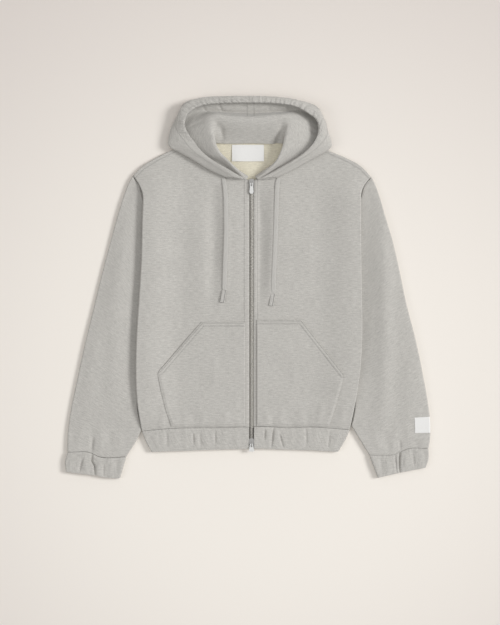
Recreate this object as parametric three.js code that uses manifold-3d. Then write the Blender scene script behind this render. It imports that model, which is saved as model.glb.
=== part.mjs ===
import * as THREE from "three";
import Module from "manifold-3d";

// A zip up hoodie laid flat, face up. Sizes in mm; the floor is z = 0, the zip is x = 0, the hood is at +y.

// Cloth and the height of each closed tube of cloth that lies on the floor
const CLOTH = 2.8;
const LINING = 1.4;
const BAND_CLOTH = 4.4;
const CUFF_CLOTH = 4;
const BODY_HEIGHT = 9;
const SLEEVE_HEIGHT = 9;
const BAND_HEIGHT = 10.8;
const CUFF_HEIGHT = 10.4;
const SEAM_GAP = 0.3;

// The body's sides lie on the sleeves
const LIFT = 9.8;
const LIFT_FULL = 15;
const LIFT_START = 95;
const LIFT_ALONG = [[0, 0], [0.08, 1], [0.82, 1], [0.9, 0.6], [1, 0]];

// Hood: casing round the face edge, from the cloth's middle line
const CASING_OUT = [3, 3.4, 2.7];
const CASING_IN = [2.2, 3, 2];
const HOOD_STEPS = 2;
const HOOD_HALF_GAP = 0.0065;

// Zip
const CHAIN_HALF = 3.9;
const CHAIN_Z = [5.3, 8.3];
const TAPE_X = [4.2, 15];
const TAPE_Z = [5.3, 5.9];
const ZIP_Y = [-334, 230];
const TAPE_TOP = 224;

// Drawcord: a flat woven cord and its bound ends
const CORD_HALF_WIDTH = 4.6;
const CORD_HALF_HEIGHT = 1.5;
const CORD_Z = BODY_HEIGHT + SEAM_GAP + CORD_HALF_HEIGHT;
const TIP_LENGTH = 26;
const TIP_HALF_WIDTH = 4.8;
const TIP_HALF_HEIGHT = 1.9;

// Edges in plan. Three numbers: share of the edge, x, y. Two numbers: x, y.
const LEFT_SIDE = [
  [0, -230.8, -300.3], [0.08, -237.9, -256.2], [0.2, -242.6, -193.2], [0.34, -241.5, -109.2],
  [0.48, -236.2, -25.2], [0.62, -231.2, 58.8], [0.74, -229.3, 138.6], [0.82, -227.9, 189.0],
  [0.9, -234.2, 212.1], [1, -248.9, 235.8],
];
const RIGHT_SIDE = [
  [0, 206.4, -297.4], [0.08, 214.4, -260.4], [0.2, 226.6, -189.0], [0.34, 232.5, -109.2],
  [0.48, 232.1, -25.2], [0.62, 230.8, 58.8], [0.74, 230.0, 138.6], [0.82, 230.0, 191.1],
  [0.9, 235.2, 212.1], [1, 251.4, 233.1],
];
const LEFT_CENTRE = [
  [0, -4.6, -291.5], [0.82, -4.6, 226.8], [0.87, -33.8, 238.1], [0.91, -60.3, 254.9],
  [0.95, -80.9, 277.2], [0.98, -92.8, 298.2], [1, -96.8, 322.8],
];
const RIGHT_CENTRE = [
  [0, 4.8, -291.1], [0.82, 4.8, 226.8], [0.87, 32.6, 238.1], [0.91, 59.9, 254.9],
  [0.95, 80.9, 277.2], [0.98, 92.8, 298.2], [1, 96.8, 322.8],
];
const LEFT_SHOULDER = [
  [0, -96.8, 322.8], [0.45, -163.8, 291.9], [0.69, -201.2, 273.0], [0.88, -230.8, 254.5],
  [1, -248.9, 235.8],
];
const RIGHT_SHOULDER = [
  [0, 96.8, 322.8], [0.44, 162.8, 288.8], [0.69, 203.5, 270.9], [0.87, 232.9, 253.3],
  [1, 251.4, 233.1],
];
const LEFT_HEM = [
  [0, -4.6, -291.6], [0.03, -10.7, -291.8], [0.226, -55.7, -293.1], [0.73, -169.1, -294.9],
  [1, -230.8, -300.4],
];
const RIGHT_HEM = [
  [0, 4.8, -291.2], [0.12, 28.4, -291.0], [0.325, 70.4, -293.5], [0.585, 122.9, -292.0],
  [1, 206.4, -297.5],
];
const BACK_TOP = [
  [0.0, -248.9, 235.8], [0.0361, -230.8, 254.5], [0.0953, -201.2, 273.0],
  [0.17, -163.8, 291.9], [0.3039, -96.8, 322.8], [0.3233, -87.2, 313.7],
  [0.3484, -74.5, 308.3], [0.3946, -51.5, 307.0], [0.4975, 0.0, 308.3], [0.5961, 49.4, 306.6],
  [0.6423, 72.5, 308.3], [0.6675, 85.0, 313.7], [0.691, 96.8, 322.8], [0.8228, 162.8, 288.8],
  [0.9043, 203.5, 270.9], [0.9631, 232.9, 253.3], [1.0, 251.4, 233.1],
];
const BACK_HEM = [
  [0.0, -230.8, -300.4], [0.1412, -169.1, -294.9], [0.4006, -55.7, -293.1],
  [0.5279, 0.0, -291.6], [0.5927, 28.4, -291.0], [0.6888, 70.4, -293.5],
  [0.8088, 122.9, -292.0], [1.0, 206.4, -297.5],
];
const BAND_TOP = [
  [0.0, -230.8, -301.1], [0.1412, -169.1, -295.7], [0.4006, -55.7, -293.8],
  [0.5279, 0.0, -292.3], [0.5927, 28.4, -291.7], [0.6888, 70.4, -294.2],
  [0.8088, 122.9, -292.7], [1.0, 206.4, -298.2],
];
const BAND_BOTTOM = [
  [0.0, -210.6, -344.0], [0.154, -150.2, -342.1], [0.3412, -76.7, -339.4],
  [0.515, -8.4, -337.7], [0.5636, 10.7, -337.3], [0.7155, 70.4, -338.9],
  [0.884, 136.5, -341.2], [1.0, 182.1, -344.0],
];
const BAND_LEFT = [
  [0, -230.8, -301.0], [0.5, -222.4, -322.4], [1, -210.6, -344.0],
];
const BAND_RIGHT = [
  [0, 206.4, -298.1], [0.5, 195.9, -321.3], [1, 182.1, -344.0],
];
const LEFT_SLEEVE_OUTER = [
  [0.0, -250.1, 235.4], [0.02, -256.0, 224.7], [0.049, -262.9, 209.0], [0.134, -278.9, 160.9],
  [0.236, -295.1, 101.9], [0.338, -311.0, 42.8], [0.472, -329.9, -34.6],
  [0.603, -348.6, -110.9], [0.749, -367.3, -196.6], [0.85, -379.5, -255.6],
  [0.932, -386.0, -303.9], [1.0, -387.0, -344.8],
];
const LEFT_SLEEVE_INNER = [
  [0.0, -215.2, 185.6], [0.193, -217.6, 79.8], [0.384, -223.2, -25.2], [0.556, -228.7, -119.7],
  [0.69, -231.0, -193.2], [0.803, -238.8, -254.5], [0.845, -235.2, -277.2],
  [0.885, -231.8, -299.2], [0.901, -235.4, -307.4], [0.928, -241.9, -320.5],
  [1.0, -262.9, -354.1],
];
const LEFT_SLEEVE_END = [
  [0.0, -250.1, 235.4], [0.43, -235.0, 211.5], [0.795, -228.5, 188.4], [1.0, -215.2, 185.6],
];
const LEFT_SLEEVE_SEAM = [
  [0.0, -387.0, -344.8], [0.391, -337.9, -346.1], [0.533, -321.7, -353.6],
  [1.0, -262.9, -354.7],
];
const RIGHT_SLEEVE_OUTER = [
  [0.0, 252.6, 232.7], [0.023, 258.5, 220.5], [0.054, 265.2, 203.7], [0.149, 281.2, 150.2],
  [0.245, 297.2, 96.6], [0.348, 310.6, 37.8], [0.479, 326.6, -37.4], [0.6, 344.2, -105.6],
  [0.721, 358.9, -175.1], [0.824, 369.6, -234.2], [0.912, 375.5, -285.6],
  [0.969, 374.9, -319.2], [1.0, 371.9, -336.8],
];
const RIGHT_SLEEVE_INNER = [
  [0.0, 217.4, 188.2], [0.197, 218.2, 79.8], [0.388, 219.5, -25.2], [0.56, 219.0, -119.7],
  [0.694, 217.4, -193.2], [0.801, 216.7, -252.4], [0.847, 212.5, -277.2],
  [0.869, 210.0, -289.0], [0.885, 214.2, -296.5], [0.951, 232.9, -327.6], [1.0, 247.2, -350.7],
];
const RIGHT_SLEEVE_END = [
  [0.0, 252.6, 232.7], [0.434, 236.0, 211.5], [0.78, 230.8, 190.7], [1.0, 217.4, 188.2],
];
const RIGHT_SLEEVE_SEAM = [
  [0.0, 371.9, -336.8], [0.314, 332.0, -336.8], [0.607, 297.2, -350.1], [1.0, 247.2, -350.5],
];
const LEFT_CUFF_TOP = [
  [0.0, -387.0, -345.4], [0.391, -337.9, -346.7], [0.533, -321.7, -354.3],
  [1.0, -262.9, -355.3],
];
const LEFT_CUFF_BOTTOM = [
  [0.0, -390.2, -385.6], [0.264, -360.2, -389.8], [0.529, -329.9, -393.5],
  [0.781, -301.4, -398.6], [1.0, -276.2, -399.8],
];
const LEFT_CUFF_OUTER = [
  [0.0, -387.0, -345.4], [0.437, -391.4, -362.7], [1.0, -390.2, -385.6],
];
const LEFT_CUFF_INNER = [
  [0.0, -262.9, -355.3], [0.273, -266.5, -367.5], [1.0, -276.2, -399.8],
];
const RIGHT_CUFF_TOP = [
  [0.0, 371.9, -337.5], [0.314, 332.0, -337.5], [0.607, 297.2, -350.7], [1.0, 247.2, -351.1],
];
const RIGHT_CUFF_BOTTOM = [
  [0.0, 366.4, -377.2], [0.289, 337.1, -383.0], [0.55, 310.6, -388.1], [0.787, 286.7, -393.5],
  [1.0, 265.2, -399.0],
];
const RIGHT_CUFF_OUTER = [
  [0.0, 371.9, -337.5], [0.481, 372.5, -357.0], [1.0, 366.4, -377.2],
];
const RIGHT_CUFF_INNER = [
  [0.0, 247.2, -351.1], [0.473, 255.6, -373.8], [1.0, 265.2, -399.0],
];
const LEFT_POCKET = [
  [-167.8, -290.6], [-179.8, -255.6], [-190.5, -212.1], [-196.3, -180.6], [-193.2, -173.9],
  [-163.8, -139.7], [-134.4, -105.4], [-104.8, -71.4],
];
const RIGHT_POCKET = [
  [163.4, -290.2], [174.1, -258.3], [187.5, -212.1], [194.2, -185.8], [192.8, -179.8],
  [163.2, -141.8], [133.8, -104.6], [104.4, -66.8],
];
const LEFT_CORD = [
  [-57.8, 224.7], [-55.2, 205.8], [-53.6, 168.0], [-53.1, 121.8], [-54.4, 75.6], [-55.7, 37.8],
  [-57.1, -4.8],
];
const RIGHT_CORD = [
  [54.8, 220.5], [53.6, 205.8], [52.5, 174.3], [51.5, 138.6], [49.8, 92.4], [47.9, 48.3],
  [45.6, -11.8],
];

// Hood: seven lines from its left front end round the back to the right one, from the neck seam over the
// roll and the valley to the face edge
const HOOD = {
  neck: [
    [-7.6, 233.9, 7.5], [-27.1, 246.5, 6.5], [-51.9, 263.3, 6.5], [-70.8, 282.7, 6.5],
    [-81.7, 294.8, 6.5], [-82.5, 303.7, 6.2], [-76.7, 305.3, 6], [-67.0, 304.1, 6],
    [-57.8, 303.9, 6], [-43.1, 303.9, 6], [-26.2, 304.1, 6], [-2.1, 304.7, 6],
    [22.1, 304.1, 6], [37.8, 303.4, 6], [51.5, 303.4, 6], [63.2, 304.1, 6], [73.7, 305.3, 6],
    [80.0, 303.7, 6.2], [80.0, 294.4, 6.5], [70.4, 282.2, 6.5], [51.0, 262.9, 6.5],
    [26.7, 246.5, 6.5], [7.8, 233.9, 7.5],
  ],
  roll: [
    [-10.3, 229.3, 14.4], [-31.3, 248.2, 21], [-50.2, 266.7, 25], [-65.7, 282.4, 27],
    [-74.1, 296.1, 28], [-79.2, 315.0, 28.5], [-83.4, 333.9, 28.5], [-82.1, 351.1, 29],
    [-71.4, 358.7, 30], [-54.6, 357.8, 31], [-31.5, 355.5, 31.5], [-2.1, 354.1, 32],
    [26.2, 356.6, 31.5], [51.5, 358.7, 31], [68.9, 357.4, 30], [77.1, 347.6, 29],
    [74.1, 331.8, 28.5], [69.9, 313.9, 28.5], [67.0, 298.2, 28], [61.1, 281.4, 27],
    [50.6, 262.5, 25], [32.6, 245.7, 21], [12.4, 229.3, 14.4],
  ],
  valley: [
    [-21.2, 228.1, 13.4], [-43.9, 247.4, 14], [-69.1, 265.4, 14], [-92.6, 283.1, 14],
    [-102.3, 299.0, 14], [-107.1, 316.3, 14], [-111.1, 334.7, 11], [-105.0, 354.1, 8.5],
    [-90.3, 366.2, 7.5], [-65.1, 368.8, 7], [-34.6, 367.5, 7], [-2.1, 366.7, 7],
    [32.6, 367.9, 7], [64.0, 369.2, 7], [88.4, 364.6, 7.5], [101.0, 349.4, 8.5],
    [103.5, 331.4, 11], [100.6, 313.7, 14], [92.6, 296.9, 14], [83.8, 281.4, 14],
    [68.2, 262.5, 14], [47.2, 245.3, 14], [23.3, 228.1, 13.4],
  ],
  ground: [
    [-41.0, 230.2, 13.4], [-72.5, 244.4, 13.6], [-104.4, 265.4, 13.6], [-132.1, 281.4, 14],
    [-150.2, 295.3, 14], [-154.3, 311.6, 10.5], [-150.6, 331.4, 7], [-140.9, 352.8, 5],
    [-118.7, 373.4, 7], [-85.0, 378.4, 10.5], [-45.1, 376.3, 11], [-2.1, 375.1, 11],
    [45.1, 376.7, 11], [78.8, 378.0, 10.5], [109.4, 368.3, 7.5], [132.1, 348.6, 5],
    [140.9, 328.4, 7], [144.7, 309.1, 10.5], [142.2, 291.9, 14.2], [122.4, 277.2, 14.2],
    [97.7, 259.6, 13.6], [67.4, 242.3, 13.6], [38.9, 228.9, 13.4],
  ],
  fold: [
    [-52.7, 234.4, 16.3], [-88.4, 251.2, 17], [-124.1, 272.6, 17.5], [-151.4, 287.9, 17.5],
    [-170.3, 298.2, 17], [-172.2, 309.5, 15.5], [-167.4, 331.4, 15], [-157.1, 352.4, 15],
    [-136.7, 383.0, 16], [-99.3, 390.6, 16.4], [-50.6, 391.0, 16.2], [-2.1, 390.6, 16.2],
    [50.2, 391.0, 16.2], [89.7, 387.7, 16.4], [131.7, 374.2, 16], [152.0, 349.7, 15],
    [158.3, 326.8, 15], [164.8, 308.3, 15.5], [164.8, 296.5, 17], [146.0, 283.9, 17.5],
    [115.7, 268.4, 17.5], [84.2, 252.4, 17], [51.0, 234.8, 16.3],
  ],
  casing: [
    [-41.8, 233.1, 19.3], [-74.1, 252.4, 21.5], [-110.7, 275.1, 23.5], [-137.6, 292.3, 25],
    [-153.1, 306.2, 25.5], [-156.5, 319.6, 25.5], [-156.0, 337.7, 25.5], [-152.2, 357.0, 26],
    [-141.3, 383.0, 25.5], [-104.8, 395.6, 24.6], [-53.1, 398.6, 24.4], [-2.1, 399.2, 24.4],
    [53.1, 397.3, 24.4], [96.4, 391.0, 24.8], [137.6, 375.1, 25.5], [147.2, 352.0, 26],
    [151.4, 331.4, 25.5], [154.8, 314.6, 25.5], [149.3, 301.1, 25.5], [131.7, 287.3, 25],
    [104.8, 270.5, 23.5], [73.7, 252.8, 21.5], [41.0, 233.1, 19.3],
  ],
  rim: [
    [-17.4, 230.2, 20.6], [-51.0, 249.5, 24], [-85.9, 270.1, 26.5], [-108.2, 290.2, 28.5],
    [-119.9, 305.8, 29.5], [-130.4, 319.6, 29.5], [-139.2, 337.3, 30], [-138.0, 356.2, 30.3],
    [-124.1, 372.5, 30.3], [-98.9, 383.0, 30.3], [-52.3, 386.6, 30.2], [-2.1, 387.4, 30.2],
    [52.3, 385.8, 30.2], [92.6, 379.3, 30.3], [120.8, 364.1, 30.4], [136.7, 350.3, 30.5],
    [140.1, 330.1, 30], [135.0, 312.1, 29.5], [124.1, 296.1, 29.5], [107.3, 280.6, 28.5],
    [82.1, 263.8, 26.5], [53.6, 247.8, 24], [21.2, 231.0, 20.6],
  ],
};

// Colours and finishes
const FLEECE = { color: 0xa8a49c, roughness: 0.95, metalness: 0 };
const CREAM = { color: 0xd8cfb8, roughness: 0.95, metalness: 0 };
const TAPE = { color: 0x8f8a82, roughness: 0.8, metalness: 0 };
const STEEL = { color: 0xc4c4c2, roughness: 0.3, metalness: 1 };
const CORD = { color: 0xb5b1a9, roughness: 0.85, metalness: 0 };
const WHITE = { color: 0xf2f1ec, roughness: 0.8, metalness: 0 };

const root = new THREE.Group();
const mix = (a, b, k) => a + (b - a) * k;
const clamp = (x) => Math.min(1, Math.max(0, x));
const ease = (x) => clamp(x) ** 2 * (3 - 2 * clamp(x));
const rad = (degrees) => (degrees * Math.PI) / 180;

function add(name, geometry, look) {
  const mesh = new THREE.Mesh(geometry, new THREE.MeshStandardMaterial(look));
  mesh.name = name;
  root.add(mesh);
  return mesh;
}

// Values at a share of a table whose rows start with the share
function onLine(rows, share) {
  let i = 1;
  while (i < rows.length - 1 && rows[i][0] < share) i += 1;
  const k = (share - rows[i - 1][0]) / (rows[i][0] - rows[i - 1][0]);
  return rows[i].slice(1).map((value, n) => mix(rows[i - 1][n + 1], value, k));
}

// A flat patch between four edges: low and high run with u, start and end run with v
function patch(low, high, start, end) {
  const corner = [onLine(low, 0), onLine(low, 1), onLine(high, 0), onLine(high, 1)];
  return (u, v) => [0, 1].map((n) => {
    const along = mix(onLine(low, u)[n], onLine(high, u)[n], v);
    const across = mix(onLine(start, v)[n], onLine(end, v)[n], u);
    const flat = mix(mix(corner[0][n], corner[1][n], u), mix(corner[2][n], corner[3][n], u), v);
    return along + across - flat;
  });
}

const distance = (a, b) => Math.hypot(a[0] - b[0], a[1] - b[1]);

// A closed wall between two grids of points of the same size
function wall(name, outer, inner, look, closed = false) {
  const rows = outer.length;
  const columns = outer[0].length;
  const points = [...outer.flat(), ...inner.flat()];
  const faces = [];
  const at = (side, row, column) => (side * rows + row) * columns + (column % columns);
  const quad = (a, b, c, d) => faces.push(a, b, c, a, c, d);
  const spans = closed ? columns : columns - 1;
  for (let c = 0; c < spans; c += 1) {
    for (let r = 0; r < rows - 1; r += 1) {
      quad(at(0, r, c), at(0, r, c + 1), at(0, r + 1, c + 1), at(0, r + 1, c));
      quad(at(1, r, c), at(1, r + 1, c), at(1, r + 1, c + 1), at(1, r, c + 1));
    }
    const last = rows - 1;
    quad(at(0, 0, c), at(1, 0, c), at(1, 0, c + 1), at(0, 0, c + 1));
    quad(at(0, last, c), at(0, last, c + 1), at(1, last, c + 1), at(1, last, c));
  }
  for (let r = 0; !closed && r < rows - 1; r += 1) {
    const last = columns - 1;
    quad(at(0, r, 0), at(0, r + 1, 0), at(1, r + 1, 0), at(1, r, 0));
    quad(at(0, r, last), at(1, r, last), at(1, r + 1, last), at(0, r + 1, last));
  }
  const volume = faces.reduce((sum, _, i) => {
    if (i % 3) return sum;
    const [a, b, c] = [0, 1, 2].map((n) => new THREE.Vector3(...points[faces[i + n]]));
    return sum + a.dot(b.cross(c));
  }, 0);
  if (volume < 0) faces.reverse();
  const geometry = new THREE.BufferGeometry();
  geometry.setAttribute("position", new THREE.Float32BufferAttribute(points.flat(), 3));
  geometry.setIndex(faces);
  return add(name, geometry, look);
}

// Steps of a rolled edge: angle from the seam at half height to the level cloth
const ROLL = [3, 30, 60, 90];

// A front or the back: level cloth that rolls over to half height at its side and shoulder seams.
// A stop is { share } on the level part or { roll, end } on a rolled edge, end 0 or 1.
function stopAt(stop, length, radius) {
  if (stop.roll === undefined) return [stop.share, 1];
  const inset = (BODY_HEIGHT / 2 - radius * Math.cos(rad(stop.roll))) / length;
  return [stop.end ? 1 - inset : inset, Math.sin(rad(stop.roll))];
}

function liftAt(toSide, v) {
  return LIFT * onLine(LIFT_ALONG, v)[0] * ease((LIFT_START - toSide) / (LIFT_START - LIFT_FULL));
}

function bodyPanel(plan, across, along, side, sides, shoulders) {
  const half = BODY_HEIGHT / 2;
  return [half, half - CLOTH].map((radius) => along.map((row) => across.map((column) => {
    const guess = row.share ?? 1;
    const height = distance(plan(column.share ?? column.end, 0), plan(column.share ?? column.end, 1));
    const [v, riseV] = stopAt(row, height, radius);
    const width = distance(plan(0, guess), plan(1, guess));
    const [u, riseU] = stopAt(column, width, radius);
    const [x, y] = plan(u, v);
    const toSide = Math.min(...sides.map((end) => Math.abs(end - u) * width));
    const rolls = shoulders(u) ? riseV : 1;
    return [x, y, half + side * radius * riseU * rolls + liftAt(toSide, v)];
  })));
}

const levelRows = [0, 0.04, 0.08, 0.14, 0.2, 0.34, 0.48, 0.62, 0.74, 0.82, 0.87, 0.91, 0.95, 0.975];
const shares = (list) => list.map((share) => ({ share }));
const sideRoll = ROLL.slice().reverse().map((roll) => ({ roll, end: 1 }));
const rows = [...shares(levelRows), ...sideRoll];

const leftPlan = patch(LEFT_HEM, LEFT_SHOULDER, LEFT_CENTRE, LEFT_SIDE);
const rightPlan = patch(RIGHT_HEM, RIGHT_SHOULDER, RIGHT_CENTRE, RIGHT_SIDE);
const frontColumns = [0, 0.03, 0.12, 0.226, 0.325, 0.45, 0.585, 0.69, 0.78, 0.84, 0.89, 0.93];
const fronts = [["front_left", leftPlan], ["front_right", rightPlan]].map(([name, plan]) => {
  const columns = [...shares(frontColumns), ...sideRoll];
  const [outer, inner] = bodyPanel(plan, columns, rows, 1, [1], () => true);
  return wall(name, outer, inner, FLEECE);
});

// The back: its neck edge between the shoulder points stays level
const NECK_FROM = 0.3066;
const NECK_TO = 0.6884;
const backPlan = patch(BACK_HEM, BACK_TOP, LEFT_SIDE, RIGHT_SIDE);
const backColumns = [0.034, 0.055, 0.08, 0.11, 0.17, 0.3065, 0.3233, 0.3484, 0.4, 0.5, 0.5961, 0.6423,
  0.6675, 0.6885, 0.8228, 0.89, 0.92, 0.945, 0.966];
const back = bodyPanel(backPlan, [
  ...ROLL.map((roll) => ({ roll, end: 0 })), ...shares(backColumns), ...sideRoll,
], rows, -1, [0, 1], (u) => u < NECK_FROM || u > NECK_TO);
wall("back", back[0], back[1], CREAM);

// Pockets: made from the front's surface, moved out. Rows run up from the hem to the top edge.
const POCKET_COLUMNS = [0, 0.3, 0.5, 0.66, 0.77, 0.85, 0.91, 0.96, 1];
const POCKET_CLOTH = 2.4;
const POCKET_GAP = 0.75;
const down = new THREE.Vector3(0, 0, -1);

for (const [name, edge, inside, front] of [
  ["pocket_left", LEFT_POCKET, -13.6, fronts[0]], ["pocket_right", RIGHT_POCKET, 10.7, fronts[1]],
]) {
  const under = edge.map(([x, y]) => POCKET_COLUMNS.map((share) => {
    const from = new THREE.Vector3(mix(inside, x, share), y, 100);
    const hit = new THREE.Raycaster(from, down).intersectObject(front)[0].point;
    return [hit.x, hit.y, hit.z + POCKET_GAP];
  }));
  const over = under.map((row) => row.map(([x, y, z]) => [x, y, z + POCKET_CLOTH]));
  wall(name, over, under, FLEECE);
}

// A flattened tube of cloth on the floor: columns go round it as [edge, degrees] or [share, face]
const RING = [
  [0, -60], [0, -30], [0, 0], [0, 30], [0, 60], [0, 90],
  ["top", 0.22], ["top", 0.36], ["top", 0.5], ["top", 0.64], ["top", 0.78],
  [1, 90], [1, 60], [1, 30], [1, 0], [1, -30], [1, -60], [1, -90],
  ["floor", 0.7], ["floor", 0.3], [0, -90],
];

function ringPoint(plan, v, [where, amount], half, radius, relief) {
  if (where === "top" || where === "floor") {
    const [x, y] = plan(amount, v);
    return [x, y, where === "top" ? half + radius + relief(x, y) : half - radius];
  }
  const width = distance(plan(0, v), plan(1, v));
  const inset = (half - radius * Math.cos(rad(amount))) / width;
  const [x, y] = plan(where ? 1 - inset : inset, v);
  const rise = radius * Math.sin(rad(amount));
  return [x, y, half + rise + (rise > 0 ? relief(x, y) * (rise / radius) : 0)];
}

function tube(name, plan, shareRows, height, cloth, relief, look) {
  const [outer, inner] = [height / 2, height / 2 - cloth].map((radius) => shareRows.map((v) => (
    RING.map((column) => ringPoint(plan, v, column, height / 2, radius, relief)))));
  return wall(name, outer, inner, look, true);
}

const flat = () => 0;

// Height of gathers at x; each is its x, width and height
const gathers = (list) => (x) => list.reduce((sum, [at, width, height]) => (
  sum + height * Math.exp(-(((x - at) / width) ** 2))), 0);

const sleeveRows = [0, 0.04, 0.09, 0.15, 0.24, 0.34, 0.47, 0.6, 0.74, 0.82, 0.886, 0.943, 0.972, 1];
const leftSleeve = patch(LEFT_SLEEVE_END, LEFT_SLEEVE_SEAM, LEFT_SLEEVE_OUTER, LEFT_SLEEVE_INNER);
const rightSleeve = patch(RIGHT_SLEEVE_END, RIGHT_SLEEVE_SEAM, RIGHT_SLEEVE_OUTER,
  RIGHT_SLEEVE_INNER);
tube("sleeve_left", leftSleeve, sleeveRows, SLEEVE_HEIGHT, CLOTH, flat, FLEECE);
tube("sleeve_right", rightSleeve, sleeveRows, SLEEVE_HEIGHT, CLOTH, flat, FLEECE);

// Cuffs: doubled cloth, gathered by the elastic inside
const CUFF_FOLDS = [
  [-370, 6, 1.1], [-346, 5, 1.5], [-322, 6, 1.2], [-296, 6, 0.9], [-276, 5, 0.9],
  [262, 6, 0.9], [284, 5, 1.2], [304, 5, 1.5], [326, 6, 1.2], [350, 6, 1], [366, 5, 0.9],
];
const CUFF_ROWS = [0, 0.25, 0.5, 0.75, 1];
const leftCuff = patch(LEFT_CUFF_TOP, LEFT_CUFF_BOTTOM, LEFT_CUFF_OUTER, LEFT_CUFF_INNER);
const rightCuff = patch(RIGHT_CUFF_TOP, RIGHT_CUFF_BOTTOM, RIGHT_CUFF_OUTER, RIGHT_CUFF_INNER);
tube("cuff_left", leftCuff, CUFF_ROWS, CUFF_HEIGHT, CUFF_CLOTH, gathers(CUFF_FOLDS), FLEECE);
tube("cuff_right", rightCuff, CUFF_ROWS, CUFF_HEIGHT, CUFF_CLOTH, gathers(CUFF_FOLDS), FLEECE);

// Hem band: doubled cloth from one side of the zip round the back to the other
const BAND_FOLDS = [
  [-179.5, 9, 1.2], [-122, 8, 1.6], [-77, 7, 1.4], [-40, 8, 1],
  [28, 7, 1.2], [64, 8, 1.6], [115, 9, 1.4], [165, 8, 1.2],
];
const BAND_ENDS = [0.514, 0.557];
const BAND_ROWS = [0, 0.3, 0.65, 1];
const bandPlan = patch(BAND_TOP, BAND_BOTTOM, BAND_LEFT, BAND_RIGHT);
const bandRing = [
  ...[BAND_ENDS[0], 0.48, 0.4, 0.34, 0.28, 0.22, 0.16, 0.11, 0.07].map((share) => ["top", share]),
  ...[90, 60, 30, 0, -30, -60, -90].map((angle) => [0, angle]),
  ...[0.07, 0.14, 0.4, 0.53, 0.59, 0.69, 0.81, 0.93].map((share) => ["floor", share]),
  ...[-90, -60, -30, 0, 30, 60, 90].map((angle) => [1, angle]),
  ...[0.93, 0.88, 0.82, 0.76, 0.7, 0.64, 0.59, BAND_ENDS[1]].map((share) => ["top", share]),
];
const band = [BAND_HEIGHT / 2, BAND_HEIGHT / 2 - BAND_CLOTH].map((radius) => BAND_ROWS.map((v) => (
  bandRing.map((column) => (
    ringPoint(bandPlan, v, column, BAND_HEIGHT / 2, radius, gathers(BAND_FOLDS)))))));
wall("hem_band", band[0], band[1], FLEECE);

// Hood: shell and lining on either side of one surface through seven lines
const hoodLines = Object.values(HOOD).map((points) => new THREE.CatmullRomCurve3(
  points.map((point) => new THREE.Vector3(...point))));
const SECTIONS = HOOD.neck.length - 1;
const LEVELS = hoodLines.length - 1;

function hoodPoint(u, v) {
  const across = hoodLines.map((line) => line.getPoint(clamp(u / SECTIONS)));
  return new THREE.CatmullRomCurve3(across).getPoint(clamp(v / LEVELS));
}

// Points moved off the surface; positive is the lining's side
function hoodOffset(u, v, offset) {
  const step = 0.05;
  const across = hoodPoint(u + step, v).sub(hoodPoint(u - step, v));
  const along = hoodPoint(u, v + step).sub(hoodPoint(u, v - step));
  const normal = across.cross(along).normalize();
  return hoodPoint(u, v).addScaledVector(normal, offset).toArray();
}

const levels = [];
for (let v = 0; v < LEVELS - 1; v += 1 / HOOD_STEPS) levels.push(v);
const LINING_END = LEVELS - 1.25;
const casingLevels = [LEVELS - 1, LEVELS - 0.5, LEVELS];
const shellRows = [
  ...levels.map((v) => [v, CLOTH, SEAM_GAP / 2]),
  [LINING_END, CLOTH, SEAM_GAP / 2],
  ...casingLevels.map((v, n) => [v, CASING_OUT[n], -CASING_IN[n]]),
];
const liningRows = [...levels, LINING_END].map((v) => [v, -SEAM_GAP / 2, -SEAM_GAP / 2 - LINING]);
const middle = SECTIONS / 2;
for (const [side, from, to] of [
  ["left", 0, middle - HOOD_HALF_GAP], ["right", middle + HOOD_HALF_GAP, SECTIONS],
]) {
  const count = middle * HOOD_STEPS;
  const columns = Array.from({ length: count + 1 }, (_, n) => mix(from, to, n / count));
  for (const [part, table] of [["hood_shell", shellRows], ["hood_lining", liningRows]]) {
    const [outer, inner] = [1, 2].map((n) => table.map((row) => (
      columns.map((u) => hoodOffset(u, row[0], -row[n])))));
    wall(`${part}_${side}`, outer, inner, FLEECE);
  }
}

// A block between two corners
function block(low, high) {
  const size = high.map((value, n) => value - low[n]);
  const geometry = new THREE.BoxGeometry(...size);
  return geometry.translate(...low.map((value, n) => value + size[n] / 2));
}

// Zip: tapes under the fronts, the chain between their edges
add("zip_chain", block([-CHAIN_HALF, ZIP_Y[0], CHAIN_Z[0]], [CHAIN_HALF, ZIP_Y[1], CHAIN_Z[1]]), STEEL);
const tape = block([TAPE_X[0], ZIP_Y[0], TAPE_Z[0]], [TAPE_X[1], TAPE_TOP, TAPE_Z[1]]);
add("zip_tape_right", tape, TAPE);
add("zip_tape_left", tape.clone().translate(-TAPE_X[0] - TAPE_X[1], 0, 0), TAPE);

// Sliders: a plate on the chain with a bail over the pull's bar
const wasm = await Module();
wasm.setup();

function solid(geometry) {
  const plain = geometry.index ? geometry.toNonIndexed() : geometry;
  const mesh = new wasm.Mesh({
    numProp: 3,
    vertProperties: plain.attributes.position.array,
    triVerts: Uint32Array.from({ length: plain.attributes.position.count }, (_, n) => n),
  });
  mesh.merge();
  return new wasm.Manifold(mesh);
}

function fromSolid(body) {
  const mesh = body.getMesh();
  const geometry = new THREE.BufferGeometry();
  geometry.setAttribute("position", new THREE.Float32BufferAttribute(mesh.vertProperties, 3));
  geometry.setIndex([...mesh.triVerts]);
  return geometry;
}

const BAIL_HALF = 1.1;
const BAIL_REACH = [3, 4.2];
const BAIL_RISE = [3, 4.2];
const BITE = 0.2;
const KEEL_INSET = 1;
const PLATE_WAIST = 0.45;
const PLATE_CHAMFER = 2;
const PULL_THICK = 1.6;
const PULL_CLEAR = 0.6;
const PULL_BAR = 1.1;
const SLOT_HALF = 1.6;
const SLOT_END = 6;

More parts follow.
